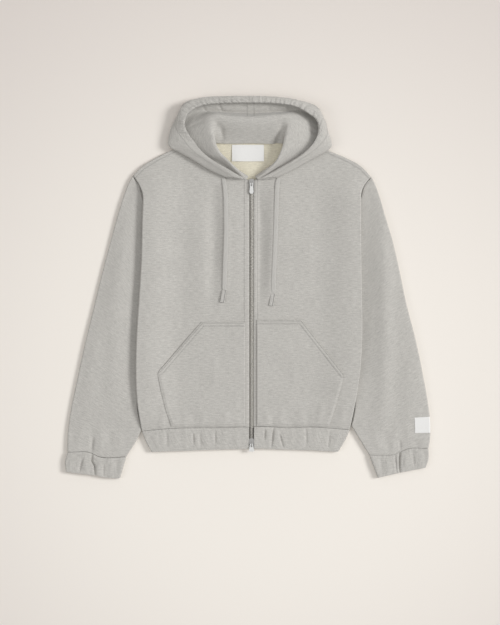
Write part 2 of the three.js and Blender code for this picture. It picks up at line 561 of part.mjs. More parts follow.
// The names of each slider's sizes: y of its ends, of its pivot and of its pull's free end, height of
// its plate, half widths of its pull at the bar and at the free end, roundness of the free end
const SLIDERS = {
  top: { ends: [213.5, 229], pivot: 219.5, tip: 197.5, plate: [9.4, 11.2], keel: 8.6,
    pull: [2.9, 4.4], round: 4.4 },
  bottom: { ends: [-331.5, -315.8], pivot: -328, tip: -343.3, plate: [8.6, 10.6], keel: 8.6,
    pull: [3.2, 5.6], round: 1.6 },
};
const PLATE_HALF = [4.9, 3.7];
const KEEL_HALF = 3.4;

for (const [name, size] of Object.entries(SLIDERS)) {
  const [low, high] = size.ends;
  const [base, top] = size.plate;
  const outline = new THREE.Shape([
    [-PLATE_HALF[1], low], [PLATE_HALF[1], low], [PLATE_HALF[0], mix(low, high, PLATE_WAIST)],
    [PLATE_HALF[0], high - PLATE_CHAMFER], [PLATE_HALF[1], high], [-PLATE_HALF[1], high],
    [-PLATE_HALF[0], high - PLATE_CHAMFER], [-PLATE_HALF[0], mix(low, high, PLATE_WAIST)],
  ].map((point) => new THREE.Vector2(...point)));
  const plate = new THREE.ExtrudeGeometry(outline, { depth: top - base, bevelEnabled: false });
  const parts = [plate.translate(0, 0, base)];
  if (size.keel < base) {
    parts.push(block([-KEEL_HALF, low + KEEL_INSET, size.keel],
      [KEEL_HALF, high - KEEL_INSET, base + BITE]));
  }
  const legZ = top + BAIL_RISE[1];
  for (const way of [-1, 1]) {
    const [near, far] = BAIL_REACH.map((reach) => size.pivot + way * reach);
    parts.push(block([-BAIL_HALF, Math.min(near, far), top - BITE],
      [BAIL_HALF, Math.max(near, far), legZ]));
  }
  parts.push(block([-BAIL_HALF, size.pivot - BAIL_REACH[1], top + BAIL_RISE[0]],
    [BAIL_HALF, size.pivot + BAIL_REACH[1], legZ]));
  add(`slider_${name}`, fromSolid(wasm.Manifold.union(parts.map(solid))), STEEL);

  const [narrow, wide] = size.pull;
  const tab = new THREE.Shape();
  tab.moveTo(-narrow, size.pivot + PULL_BAR);
  tab.lineTo(-wide, size.tip + size.round);
  tab.absarc(-wide + size.round, size.tip + size.round, size.round, Math.PI, Math.PI * 1.5);
  tab.absarc(wide - size.round, size.tip + size.round, size.round, Math.PI * 1.5, Math.PI * 2);
  tab.lineTo(narrow, size.pivot + PULL_BAR);
  const slot = new THREE.Path([
    [-SLOT_HALF, SLOT_END], [SLOT_HALF, SLOT_END], [SLOT_HALF, PULL_BAR], [-SLOT_HALF, PULL_BAR],
  ].map(([x, y]) => new THREE.Vector2(x, size.pivot - y)));
  tab.holes.push(slot);
  const pull = new THREE.ExtrudeGeometry(tab, { depth: PULL_THICK, bevelEnabled: false,
    curveSegments: 6 });
  add(`pull_${name}`, pull.translate(0, 0, top + PULL_CLEAR), STEEL);
}

// Labels: the neck label on the back's inside, the sleeve label round the sleeve's outer edge
const NECK_LABEL = [[-41, 266.2, 3.1], [26.2, 301, 3.7]];
add("neck_label", block(...NECK_LABEL), WHITE);
const LABEL_ROWS = [0.886, 0.943];
const LABEL_CLOTH = [0.35, 0.95];
const labelRing = [[0, 10], [0, 30], [0, 60], [0, 90], ["top", 0.22]];
const label = LABEL_CLOTH.map((out) => LABEL_ROWS.map((v) => labelRing.map((column) => (
  ringPoint(rightSleeve, v, column, SLEEVE_HEIGHT / 2, SLEEVE_HEIGHT / 2 + out, flat)))));
wall("sleeve_label", label[1], label[0], WHITE);

// Drawcords and their bound ends
function flatSection(halfHeight, halfWidth) {
  const shape = new THREE.Shape();
  const out = 1 / Math.cos(Math.PI / 8);
  for (let n = 0; n < 8; n += 1) {
    const angle = (n * Math.PI) / 4 + Math.PI / 8;
    const point = [halfHeight * Math.cos(angle) * out, halfWidth * Math.sin(angle) * out];
    if (n) shape.lineTo(...point);
    else shape.moveTo(...point);
  }
  return shape;
}

for (const [name, route] of [["left", LEFT_CORD], ["right", RIGHT_CORD]]) {
  const path = new THREE.CatmullRomCurve3(route.map(([x, y]) => new THREE.Vector3(x, y, CORD_Z)));
  add(`drawcord_${name}`, new THREE.ExtrudeGeometry(flatSection(CORD_HALF_HEIGHT, CORD_HALF_WIDTH), {
    steps: 12, extrudePath: path, bevelEnabled: false }), CORD);
  const end = path.getPoint(1);
  const way = path.getTangent(1);
  const start = end.clone().addScaledVector(way, SEAM_GAP);
  const finish = start.clone().addScaledVector(way, TIP_LENGTH);
  const raise = TIP_HALF_HEIGHT - CORD_HALF_HEIGHT;
  start.z += raise;
  finish.z += raise;
  add(`cord_tip_${name}`, new THREE.ExtrudeGeometry(flatSection(TIP_HALF_HEIGHT, TIP_HALF_WIDTH), {
    steps: 1, extrudePath: new THREE.LineCurve3(start, finish), bevelEnabled: false }), CORD);
}

export default root;
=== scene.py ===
"""A grey marl zip up hoodie laid flat, face up, seen straight from above.

Each cloth piece is a thin shell: a grid of points for its outer face and one for its inner face, closed at
the edges. A flat piece lies between four edge curves: a point is the blend along the two long edges, plus
the blend along the two short ones, minus the blend of the four corners. Where the cloth folds round, the
height follows half a circle. The hood is drawn through seven lines that run round it. Creases are soft
troughs and ridges along given lines. Tables are in millimetres, and heights start at the floor.
"""

import math
from functools import partial

import bpy
import numpy as np
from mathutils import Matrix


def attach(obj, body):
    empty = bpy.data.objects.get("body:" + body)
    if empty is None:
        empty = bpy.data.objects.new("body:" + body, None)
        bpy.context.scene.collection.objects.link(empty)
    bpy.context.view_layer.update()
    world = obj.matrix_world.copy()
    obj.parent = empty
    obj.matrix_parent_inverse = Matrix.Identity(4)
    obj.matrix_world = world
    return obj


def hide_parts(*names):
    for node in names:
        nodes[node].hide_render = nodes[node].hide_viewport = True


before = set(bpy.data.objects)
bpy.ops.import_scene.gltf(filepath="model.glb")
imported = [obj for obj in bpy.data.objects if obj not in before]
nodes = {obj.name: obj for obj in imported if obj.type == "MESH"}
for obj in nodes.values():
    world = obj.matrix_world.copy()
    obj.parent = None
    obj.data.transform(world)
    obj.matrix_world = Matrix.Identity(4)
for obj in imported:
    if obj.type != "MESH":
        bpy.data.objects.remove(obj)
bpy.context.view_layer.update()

# Camera: straight above with a long lens, the garment a little above the picture's middle.
CAMERA_PLACE = (-0.0032, -0.0515, 5.0)
VIEW_HEIGHT = 1.3125
VIEW_LEVEL = 0.009
SENSOR = 36


def place(name, data):
    """A new object in the scene."""
    made = bpy.data.objects.new(name, data)
    bpy.context.scene.collection.objects.link(made)
    return made


camera = place("camera", bpy.data.cameras.new("camera"))
camera.location = CAMERA_PLACE
camera.data.sensor_width = SENSOR
camera.data.lens = SENSOR * (CAMERA_PLACE[2] - VIEW_LEVEL) / VIEW_HEIGHT
camera.data.clip_end = 50
bpy.context.scene.camera = camera

# Drawcords: the two free ends of one flat woven cotton cord, 9 mm wide, that runs through the hood's casing.
# Each comes out under the hood's edge and lies straight on its front. The section is a flattened ellipse
# carried along the route, and the weave is two crossed sets of slanting ribs.
MM = 0.001
LEFT_CORD = [
    [-59.2, 232.5], [-57.8, 224.7], [-55.2, 205.8], [-53.6, 168.0], [-53.1, 121.8], [-54.4, 75.6],
    [-55.7, 37.8], [-57.1, -4.8],
]
RIGHT_CORD = [
    [57.6, 231.0], [54.8, 220.5], [53.6, 205.8], [52.5, 174.3], [51.5, 138.6], [49.8, 92.4],
    [47.9, 48.3], [45.6, -11.8],
]
CORD_WIDTH = 9.2
CORD_THICK = 1.7
CORD_SQUARENESS = 0.75
CORD_HEIGHT = 10.4
CORD_RISE = 4.0
RISE_TOP = 225
RISE_LENGTH = 236
CORD_STATIONS = 60
RING_POINTS = 24
END_SIZE = 0.7
CORE_SIZE = 0.15
CORD_COLOUR = (0.56, 0.545, 0.515)
# Rib colours: painted shade in the rib valleys and a painted highlight on the rib tops, made from the cord's
# colour
RIB_VALLEY_SHADE_COLOUR = (0.4928, 0.4796, 0.4532)
RIB_TOP_HIGHLIGHT_COLOUR = (0.5824, 0.5668, 0.5356)
# Painted shade: a dark line along the cord tip's fold, its colour and how far it reaches either side in
# metres
FOLD_SHADE_COLOUR = (0.1568, 0.1526, 0.1442)
FOLD_SHADE_REACH = 0.0011
RIB_PHASE = 4200
SHARP_ANGLE = 50


def cubic(k, start, start_slope, end, end_slope):
    """Cubic line between two points with given slopes, at the shares k."""
    return ((2 * k**3 - 3 * k**2 + 1) * start + (k**3 - 2 * k**2 + k) * start_slope
            + (3 * k**2 - 2 * k**3) * end + (k**3 - k**2) * end_slope)


def hermite(rows, share):
    """Smooth line through rows that start with their share; slopes come from the rows on both sides."""
    at, points = rows[:, 0], rows[:, 1:]
    step = np.diff(at)[:, None]
    rise = np.diff(points, axis=0) / step
    slope = np.empty_like(points)
    slope[0], slope[-1] = rise[0], rise[-1]
    slope[1:-1] = (rise[:-1] * step[1:] + rise[1:] * step[:-1]) / (step[1:] + step[:-1])
    i = np.clip(np.searchsorted(at, share, side="right") - 1, 0, len(at) - 2)
    span = step[i]
    k = (share - at[i])[..., None] / span
    return cubic(k, points[i], span * slope[i], points[i + 1], span * slope[i + 1])


def curve(rows, share, corners=()):
    """The same, with the line left sharp at the rows numbered in corners."""
    rows = np.asarray(rows, float)
    share = np.clip(np.asarray(share, float), rows[0, 0], rows[-1, 0])
    line = np.zeros(share.shape + (rows.shape[1] - 1,))
    ends = [0, *corners, len(rows) - 1]
    for first, last in zip(ends, ends[1:]):
        inside = (share >= rows[first, 0]) & (share <= rows[last, 0])
        line[inside] = hermite(rows[first : last + 1], share[inside])
    return line


def grid_faces(rows, columns, closed, base=0):
    """Quads of a grid of points, as four index numbers each."""
    across = np.arange(columns if closed else columns - 1)
    row = np.arange(rows - 1)[:, None] * columns + base
    first, second = row + across, row + (across + 1) % columns
    return np.stack([first, second, second + columns, first + columns], -1).reshape(-1, 4)


def strip_faces(one, other):
    """Quads between two rows of index numbers of the same length."""
    return np.stack([one[:-1], one[1:], other[1:], other[:-1]], -1)


def shell(name, outer, inner, layers, closed=False):
    """An object with an outer and an inner grid of points in millimetres, closed at the edges.

    layers holds the name of each UV layer with its two numbers at each point of the grid. The faces are
    turned to point out where the volume that they hold comes out below nothing.
    """
    rows, columns = outer.shape[:2]
    count = rows * columns
    points = np.concatenate([outer.reshape(-1, 3), inner.reshape(-1, 3)]) * MM
    index = np.arange(count).reshape(rows, columns)
    ring = np.concatenate([index, index[:, :1]], 1) if closed else index
    faces = [
        grid_faces(rows, columns, closed),
        grid_faces(rows, columns, closed, count)[:, ::-1],
        strip_faces(ring[0], ring[0] + count)[:, ::-1],
        strip_faces(ring[-1], ring[-1] + count),
    ]
    if not closed:
        faces += [
            strip_faces(index[:, 0], index[:, 0] + count),
            strip_faces(index[:, -1], index[:, -1] + count)[:, ::-1],
        ]
    faces = np.concatenate(faces)
    a, b, c, d = (points[faces[:, n]] for n in range(4))
    if np.einsum("ij,ij->", a, np.cross(b, c) + np.cross(c, d)) < 0:
        faces = faces[:, ::-1]
    mesh = bpy.data.meshes.new(name)
    mesh.vertices.add(len(points))
    mesh.vertices.foreach_set("co", points.ravel())
    mesh.loops.add(faces.size)
    mesh.loops.foreach_set("vertex_index", faces.astype(np.int32).ravel())
    mesh.polygons.add(len(faces))
    mesh.polygons.foreach_set("loop_start", np.arange(0, faces.size, 4, dtype=np.int32))
    mesh.polygons.foreach_set("use_smooth", np.ones(len(faces), bool))
    mesh.update(calc_edges=True)
    for title, numbers in layers.items():
        both = np.concatenate([numbers.reshape(-1, 2)] * 2)
        uv = mesh.uv_layers.new(name=title)
        uv.data.foreach_set("uv", both[faces.ravel()].astype(np.float32).ravel())
    mesh.set_sharp_from_angle(angle=math.radians(SHARP_ANGLE))
    mesh.validate()
    return place(name, mesh)


def put(tree, kind, **settings):
    """A node in a tree, in columns in the order of making.

    A setting is a socket's value, or the socket that feeds it, or else the node's own property.
    """
    made = tree.nodes.new(kind)
    column, row = divmod(len(tree.nodes) - 1, 4)
    made.location = (240 * column - 900, -300 * row)
    for key, value in settings.items():
        key = key.replace("_", " ") if key.replace("_", " ") in made.inputs else key
        if key not in made.inputs:
            setattr(made, key, value)
        elif isinstance(value, bpy.types.NodeSocket):
            tree.links.new(value, made.inputs[key])
        else:
            made.inputs[key].default_value = value
    return made


def new_group(name, inputs, outputs):
    """An empty node group with named sockets, its input node and its output node."""
    group = bpy.data.node_groups.new(name, "ShaderNodeTree")
    for way, sockets in (("INPUT", inputs), ("OUTPUT", outputs)):
        for title, kind, value in sockets:
            socket = group.interface.new_socket(name=title, in_out=way, socket_type="NodeSocket" + kind)
            if value is not None:
                socket.default_value = value
    return group, put(group, "NodeGroupInput"), put(group, "NodeGroupOutput")


def calc(tree, operation, *values, clamp=False):
    """A math node. A value is a number or the socket that feeds it."""
    made = put(tree, "ShaderNodeMath", operation=operation, use_clamp=clamp)
    for n, value in enumerate(values):
        if isinstance(value, (int, float)):
            made.inputs[n].default_value = value
        else:
            tree.links.new(value, made.inputs[n])
    return made.outputs[0]


def fading(tree, distance, reach):
    """1 where a distance is nothing, falling evenly to 0 at the reach."""
    return calc(tree, "SUBTRACT", 1.0, calc(tree, "DIVIDE", distance, reach), clamp=True)


def blend(tree, share, *colours, **settings):
    """From the first colour to the second one. Each is three numbers or the socket that feeds it."""
    made = put(tree, "ShaderNodeMix", data_type="RGBA", Factor=share, **settings)
    for colour, socket in zip(colours, (made.inputs[6], made.inputs[7])):
        if isinstance(colour, tuple):
            socket.default_value = (*colour, 1)
        else:
            tree.links.new(colour, socket)
    return made.outputs[2]


def emboss(tree, height, strength, depth, normal):
    """A bump node that makes a normal of a height; depth is what a height of 1 stands for, in metres."""
    made = put(tree, "ShaderNodeBump", Strength=strength, Distance=depth, Height=height)
    tree.links.new(made.outputs[0], normal)
    return made


def principled(name, colour, roughness, metallic=0.0, sheen=0.0):
    """A new material with its tree and its shader node."""
    material = bpy.data.materials.new(name)
    material.use_nodes = True
    tree = material.node_tree
    tree.nodes.clear()
    shader = put(tree, "ShaderNodeBsdfPrincipled", Roughness=roughness, Metallic=metallic)
    shader.inputs["Base Color"].default_value = (*colour, 1)
    shader.inputs["Sheen Weight"].default_value = sheen
    shader.inputs["Sheen Roughness"].default_value = 0.5
    put(tree, "ShaderNodeOutputMaterial", Surface=shader.outputs[0])
    return material, tree, shader


def cord_material(name, fold=None):
    """Two sets of ribs that slant opposite ways, with painted shade in their valleys and a painted highlight
    on their tops; fold is how far from the middle a dark line of painted shade runs along a fold, in mm.
    """
    material, tree, shader = principled(name, CORD_COLOUR, 0.9, sheen=0.2)
    uv = put(tree, "ShaderNodeUVMap", uv_map="cloth")
    split = put(tree, "ShaderNodeSeparateXYZ", Vector=uv.outputs[0])
    across, along = split.outputs[0], split.outputs[1]
    ribs = []
    for slant in (1, -1):
        slanted = calc(tree, "ADD", along, calc(tree, "MULTIPLY", across, slant))
        ribs.append(calc(tree, "SINE", calc(tree, "MULTIPLY", slanted, RIB_PHASE)))
    weave = calc(tree, "MAXIMUM", *ribs)
    emboss(tree, weave, 0.6, 0.0003, shader.inputs["Normal"])
    # Painted shade and highlight: the colour goes from darker in the rib valleys to lighter on the rib tops
    share = calc(tree, "MULTIPLY_ADD", weave, 0.5, 0.5)
    shade = blend(tree, share, RIB_VALLEY_SHADE_COLOUR, RIB_TOP_HIGHLIGHT_COLOUR)
    # Painted shade: a dark line painted along the fold
    if fold is not None:
        away = calc(tree, "ABSOLUTE", calc(tree, "SUBTRACT", across, fold * MM))
        shade = blend(tree, fading(tree, away, FOLD_SHADE_REACH), shade, FOLD_SHADE_COLOUR)
    tree.links.new(shade, shader.inputs["Base Color"])
    return material


def run_along(points, axis=0):
    """Length of the way to each point of a line, or of a grid along one of its two ways."""
    steps = np.diff(points, axis=axis, prepend=np.take(points, [0], axis))
    return np.cumsum(np.linalg.norm(steps, axis=-1), axis)


def flat_tube(name, line, width, thick, squareness):
    """A closed flat tube along points in millimetres: rings of a flattened ellipse, smaller at both ends.

    A ring's point is half the width times a power of the cosine across, and half the thickness times the
    same power of the sine up; the power is the squareness.
    """
    way = np.gradient(line, axis=0)
    way /= np.linalg.norm(way, axis=1)[:, None]
    side = np.stack([way[:, 1], -way[:, 0], np.zeros(len(way))], 1)
    angle = np.linspace(0, 2 * math.pi, RING_POINTS, endpoint=False)
    cos, sin = np.cos(angle), np.sin(angle)
    wide = np.sign(cos) * np.abs(cos) ** squareness * width / 2
    high = np.sign(sin) * np.abs(sin) ** squareness * thick / 2
    size = np.ones(len(line))
    size[[0, -1]] = END_SIZE
    rings = line[:, None] + side[:, None] * (wide * size[:, None])[..., None]
    rings[..., 2] += high * size[:, None]
    layer = np.stack(np.broadcast_arrays(wide[None], run_along(line)[:, None]), -1) * MM
    core = line[:, None] + (rings - line[:, None]) * CORE_SIZE
    return shell(name, rings, core, {"cloth": layer}, closed=True)


def register_piece(piece, look, replaced):
    """Gives a finished piece its material and hides the CAD node that it replaces; every one lies still with
    the garment.
    """
    piece.data.materials.append(look)
    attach(piece, "garment")
    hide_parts(replaced)


cord_look = cord_material("drawcord cotton")
cords = {}
for side_name, route in (("left", LEFT_CORD), ("right", RIGHT_CORD)):
    plan = np.asarray(route, float)
    run = run_along(plan)
    plan = curve(np.column_stack([run / run[-1], plan]), np.linspace(0, 1, CORD_STATIONS))
    down = np.clip((RISE_TOP - plan[:, 1]) / RISE_LENGTH, 0, 1)
    line = np.column_stack([plan, CORD_HEIGHT + CORD_RISE * np.sin(math.pi * down) ** 0.5])
    cord = flat_tube(f"cord_{side_name}", line, CORD_WIDTH, CORD_THICK, CORD_SQUARENESS)
    register_piece(cord, cord_look, f"drawcord_{side_name}")
    cords[side_name] = (cord, line)

# Cord tips: the last 26 mm of each cord is folded on itself and bound with thread, so it is a little wider
# and thicker than the cord. A thread band closes it near the top.
TIP_WIDTH = 9.6
TIP_THICK = 2.4
TIP_SQUARENESS = 0.6
TIP_LEAN = -0.13
# How far from the middle the painted shade line along the tip's fold runs, in mm
TIP_FOLD_SHADE_LINE = -2.6
TIP_RUN = np.array([0.3, 0.8, 2, 3, 4, 6, 10, 15, 20, 24, 25.5, 26])
TIP_SWELL = np.array([0, 0.06, 0.06, 0, 0.06, 0.09, 0.06, 0.03, 0.06, 0.09, 0.03, 0])
tip_look = cord_material("cord tip cotton", TIP_FOLD_SHADE_LINE)
for side_name, (cord, line) in cords.items():
    end = line[-1]
    way = end - line[-4]
    way = way + (TIP_LEAN * np.linalg.norm(way), 0, 0)
    way /= np.linalg.norm(way)
    tip_line = end + way * TIP_RUN[:, None]
    tip_line[:, 2] = end[2] + (TIP_THICK - CORD_THICK) / 2 + TIP_SWELL
    tip = flat_tube(f"tip_{side_name}", tip_line, TIP_WIDTH, TIP_THICK, TIP_SQUARENESS)
    register_piece(tip, tip_look, f"cord_tip_{side_name}")

# Back: one panel from the hem to the shoulders, grey outside and cream brushed pile inside. It lies level on
# the floor and rolls up to half height at the side and shoulder seams; over the sleeves its sides lift.
LEFT_SIDE = [
    [0, -230.8, -300.3], [0.08, -237.9, -256.2], [0.2, -242.6, -193.2], [0.34, -241.5, -109.2],
    [0.48, -236.2, -25.2], [0.62, -231.2, 58.8], [0.74, -229.3, 138.6], [0.82, -227.9, 189.0],
    [0.9, -234.2, 212.1], [1, -248.9, 235.8],
]
RIGHT_SIDE = [
    [0, 206.4, -297.4], [0.08, 214.4, -260.4], [0.2, 226.6, -189.0], [0.34, 232.5, -109.2],
    [0.48, 232.1, -25.2], [0.62, 230.8, 58.8], [0.74, 230.0, 138.6], [0.82, 230.0, 191.1],
    [0.9, 235.2, 212.1], [1, 251.4, 233.1],
]
BACK_TOP = [
    [0.0, -248.9, 235.8], [0.0361, -230.8, 254.5], [0.0953, -201.2, 273.0],
    [0.17, -163.8, 291.9], [0.3039, -96.8, 322.8], [0.3233, -87.2, 313.7],
    [0.3484, -74.5, 308.3], [0.3946, -51.5, 307.0], [0.4975, 0.0, 308.3], [0.5961, 49.4, 306.6],
    [0.6423, 72.5, 308.3], [0.6675, 85.0, 313.7], [0.691, 96.8, 322.8], [0.8228, 162.8, 288.8],
    [0.9043, 203.5, 270.9], [0.9631, 232.9, 253.3], [1.0, 251.4, 233.1],
]
BACK_HEM = [
    [0.0, -230.8, -300.4], [0.1412, -169.1, -294.9], [0.4006, -55.7, -293.1],
    [0.5279, 0.0, -291.6], [0.5927, 28.4, -291.0], [0.6888, 70.4, -293.5],
    [0.8088, 122.9, -292.0], [1.0, 206.4, -297.5],
]
CLOTH = 2.8
BODY_HALF = 4.5
LIFTS = {"left": 12.0, "right": 7.6}
LIFT_FULL = 15
LIFT_START = 95
LIFT_ALONG = [[0, 0.1], [0.03, 0.5], [0.09, 0.85], [0.2, 1], [0.8, 1], [0.9, 0.6], [1, 0]]
HEM_DIP = 0.6
DIP_WIDTH = 3.0
EDGE_DIP = 0.9
EDGE_WIDTH = 2.4
NECK_FROM = 0.3066
NECK_TO = 0.6884
FLEECE_COLOUR = (0.50, 0.485, 0.455)
CREAM_COLOUR = (0.74, 0.694, 0.56)
ROLL = np.radians([78, 66, 54, 42, 30, 18, 8, 3])
ROLL_WIDTH = 0.5
CROWDING = 0.72
# Scale across and along the cloth, detail and weight of each of the marl's layers
MARL_LAYERS = (((90, 420, 90), 3.0, 0.62), ((380, 1200, 380), 4.0, 0.72), ((14, 22, 14), 2.0, 0.12))
STITCH_GAP = 0.22
THREAD_HEIGHT = 1.6
GROOVE_WIDTH = 2.6
GROOVE_DEPTH = -1.4
# Painted shade along each stitch groove: how much darker the cloth is painted there, and the colour of that
# shade
GROOVE_SHADE = 0.16
GROOVE_SHADE_COLOUR = (0.25, 0.25, 0.25)
CREASE_TAPER = 0.6
BACK_GRID = (110, 120)


def marl_group():
    """Marl fleece: short light and dark fibres that run across the cloth, over a slow change of tone."""
    tree, inner, outer = new_group(
        "marl fleece",
        [("Vector", "Vector", None), ("Colour", "Color", (0.5, 0.5, 0.5, 1)), ("Contrast", "Float", 1.0)],
        [("Colour", "Color", None), ("Height", "Float", None)],
    )
    total = None
    heights = []
    for scale, detail, weight in MARL_LAYERS:
        mapping = put(tree, "ShaderNodeMapping", Vector=inner.outputs["Vector"], Scale=scale)
        noise = put(tree, "ShaderNodeTexNoise", Vector=mapping.outputs[0], Scale=1.0, Detail=detail,
                    Roughness=0.6)
        part = calc(tree, "MULTIPLY", calc(tree, "SUBTRACT", noise.outputs[0], 0.5), weight)
        total = part if total is None else calc(tree, "ADD", total, part)
        heights.append(noise.outputs[0])
    factor = calc(tree, "MULTIPLY_ADD", total, inner.outputs["Contrast"], 1.0)
    scaled = put(tree, "ShaderNodeVectorMath", operation="SCALE", Vector=inner.outputs["Colour"],
                 Scale=factor)
    tree.links.new(scaled.outputs[0], outer.inputs["Colour"])
    height = calc(tree, "MULTIPLY_ADD", heights[1], 0.5, heights[0])
    tree.links.new(height, outer.inputs["Height"])
    return tree


def stitch_group():
    """A row of lockstitches in its groove: X is the way across from the edge, Y the way along, in metres."""
    tree, inner, outer = new_group(
        "stitch row",
        [("Vector", "Vector", None), ("Offset", "Float", 0.006), ("Pitch", "Float", 0.0028),
         ("Width", "Float", 0.0007)],
        [("Thread", "Float", None), ("Groove", "Float", None)],
    )
    split = put(tree, "ShaderNodeSeparateXYZ", Vector=inner.outputs["Vector"])
    away = calc(tree, "ABSOLUTE", calc(tree, "SUBTRACT", split.outputs[0], inner.outputs["Offset"]))
    near = fading(tree, away, inner.outputs["Width"])
    turn = calc(tree, "FRACT", calc(tree, "DIVIDE", split.outputs[1], inner.outputs["Pitch"]))
    thread = calc(tree, "MULTIPLY", near, calc(tree, "GREATER_THAN", turn, STITCH_GAP))
    tree.links.new(thread, outer.inputs["Thread"])
    groove = fading(tree, away, calc(tree, "MULTIPLY", inner.outputs["Width"], GROOVE_WIDTH))
    tree.links.new(groove, outer.inputs["Groove"])
    return tree


MARL = marl_group()
STITCH = stitch_group()


def fleece(name, colour, stitches=(), contrast=1.0, bump=0.00045, gathers=None):
    """Fleece with rows of stitches; each row is its UV layer and its distance from the edge in mm.

    gathers: small irregular puckers as UV layer, ridges per metre both ways, depth in mm and reach in mm.
    """
    material, tree, shader = principled(name, colour, 0.95, sheen=0.25)
    uv = put(tree, "ShaderNodeUVMap", uv_map="cloth")
    marl = put(tree, "ShaderNodeGroup", node_tree=MARL, Vector=uv.outputs[0], Colour=(*colour, 1),
               Contrast=contrast)
    shade, height = marl.outputs["Colour"], marl.outputs["Height"]
    for layer, offset in stitches:
        edge = put(tree, "ShaderNodeUVMap", uv_map=layer)
        row = put(tree, "ShaderNodeGroup", node_tree=STITCH, Vector=edge.outputs[0], Offset=offset * MM)
        # Painted shade: the cloth is painted darker along each stitch groove
        darker = calc(tree, "MULTIPLY", row.outputs["Groove"], GROOVE_SHADE)
        shade = blend(tree, darker, shade, GROOVE_SHADE_COLOUR, blend_type="MULTIPLY")
        low = calc(tree, "MULTIPLY_ADD", row.outputs["Groove"], GROOVE_DEPTH, height)
        height = calc(tree, "MULTIPLY_ADD", row.outputs["Thread"], THREAD_HEIGHT, low)
    relief = emboss(tree, height, 0.8, bump, shader.inputs["Normal"])
    if gathers:
        layer, scale, depth, reach = gathers
        edge = put(tree, "ShaderNodeUVMap", uv_map=layer)
        mapping = put(tree, "ShaderNodeMapping", Vector=edge.outputs[0], Scale=(*scale, 1))
        noise = put(tree, "ShaderNodeTexNoise", Vector=mapping.outputs[0], Scale=1.0, Detail=2.0,
                    Roughness=0.55, Distortion=0.4)
        split = put(tree, "ShaderNodeSeparateXYZ", Vector=edge.outputs[0])
        puckers = calc(tree, "MULTIPLY", noise.outputs[0], fading(tree, split.outputs[0], reach * MM))
        emboss(tree, puckers, 1.0, depth * MM, relief.inputs["Normal"])
    tree.links.new(shade, shader.inputs["Base Color"])
    return material


def edge_of(rows, corners=()):
    """An edge of a piece: the smooth line through rows, as a function of the share."""
    return lambda share: curve(rows, share, corners)


def patch(low, high, start, end, u, v):
    """Points of the flat patch between four edges, each a function of its share.

    A point is the blend of low and high, plus the blend of start and end, less that of the four corners.
    """
    corners = ((low, 0.0), (low, 1.0), (high, 0.0), (high, 1.0))
    a, b, c, d = (np.asarray(edge(np.array([k])))[0] for edge, k in corners)
    ku, kv = u[..., None], v[..., None]
    along = low(u) * (1 - kv) + high(u) * kv
    across = start(v) * (1 - ku) + end(v) * ku
    flat = (a * (1 - ku) + b * ku) * (1 - kv) + (c * (1 - ku) + d * ku) * kv
    return along + across - flat


def width_at(edges, v):
    """How far a patch is across, from its start edge to its end edge, at the shares v."""
    far, near = patch(*edges, np.ones(len(v)), v), patch(*edges, np.zeros(len(v)), v)
    return np.linalg.norm(far - near, axis=1)


def ease(k):
    """A smooth step: 0 up to 0, 1 from 1 on, and three squares less two cubes between."""
    k = np.clip(k, 0, 1)
    return k * k * (3 - 2 * k)


def crowd(count):
    """Shares from 0 to 1, closer together at both ends: an even run less part of one sine wave."""
    k = np.linspace(0, 1, count)
    return k - CROWDING * np.sin(2 * math.pi * k) / (2 * math.pi)


def stations_for(count, length, radius, half, roll_start, roll_end):
    """Shares and rises of the stations of each line of a given length: level cloth and its rolled ends.

    On a rolled end the way in is half the thickness less the radius times the roll's cosine, both halved in
    plan, and the rise is its sine. On level cloth the rise is 1.
    """
    half, radius = half * ROLL_WIDTH, radius * ROLL_WIDTH
    inset = (half - radius * np.cos(ROLL)) / length[:, None]
    low = half / length[:, None] * roll_start
    high = 1 - half / length[:, None] * roll_end
    parts = [low + crowd(count)[None] * (high - low)]
    rises = [np.ones(count)]
    if roll_start:
        parts.insert(0, inset[:, ::-1])
        rises.insert(0, np.sin(ROLL[::-1]))
    if roll_end:
        parts.append(1 - inset)
        rises.append(np.sin(ROLL))
    return np.concatenate(parts, 1), np.concatenate(rises)


def lift_at(to_side, v, side_name):
    """How far the cloth is raised over a sleeve, from the distance to that side and the share up it.

    It is the side's full lift, times its share at this height, times a smooth step down towards the zip.
    """
    along = np.interp(v, *np.asarray(LIFT_ALONG, float).T)
    return LIFTS[side_name] * along * ease((LIFT_START - to_side) / (LIFT_START - LIFT_FULL))


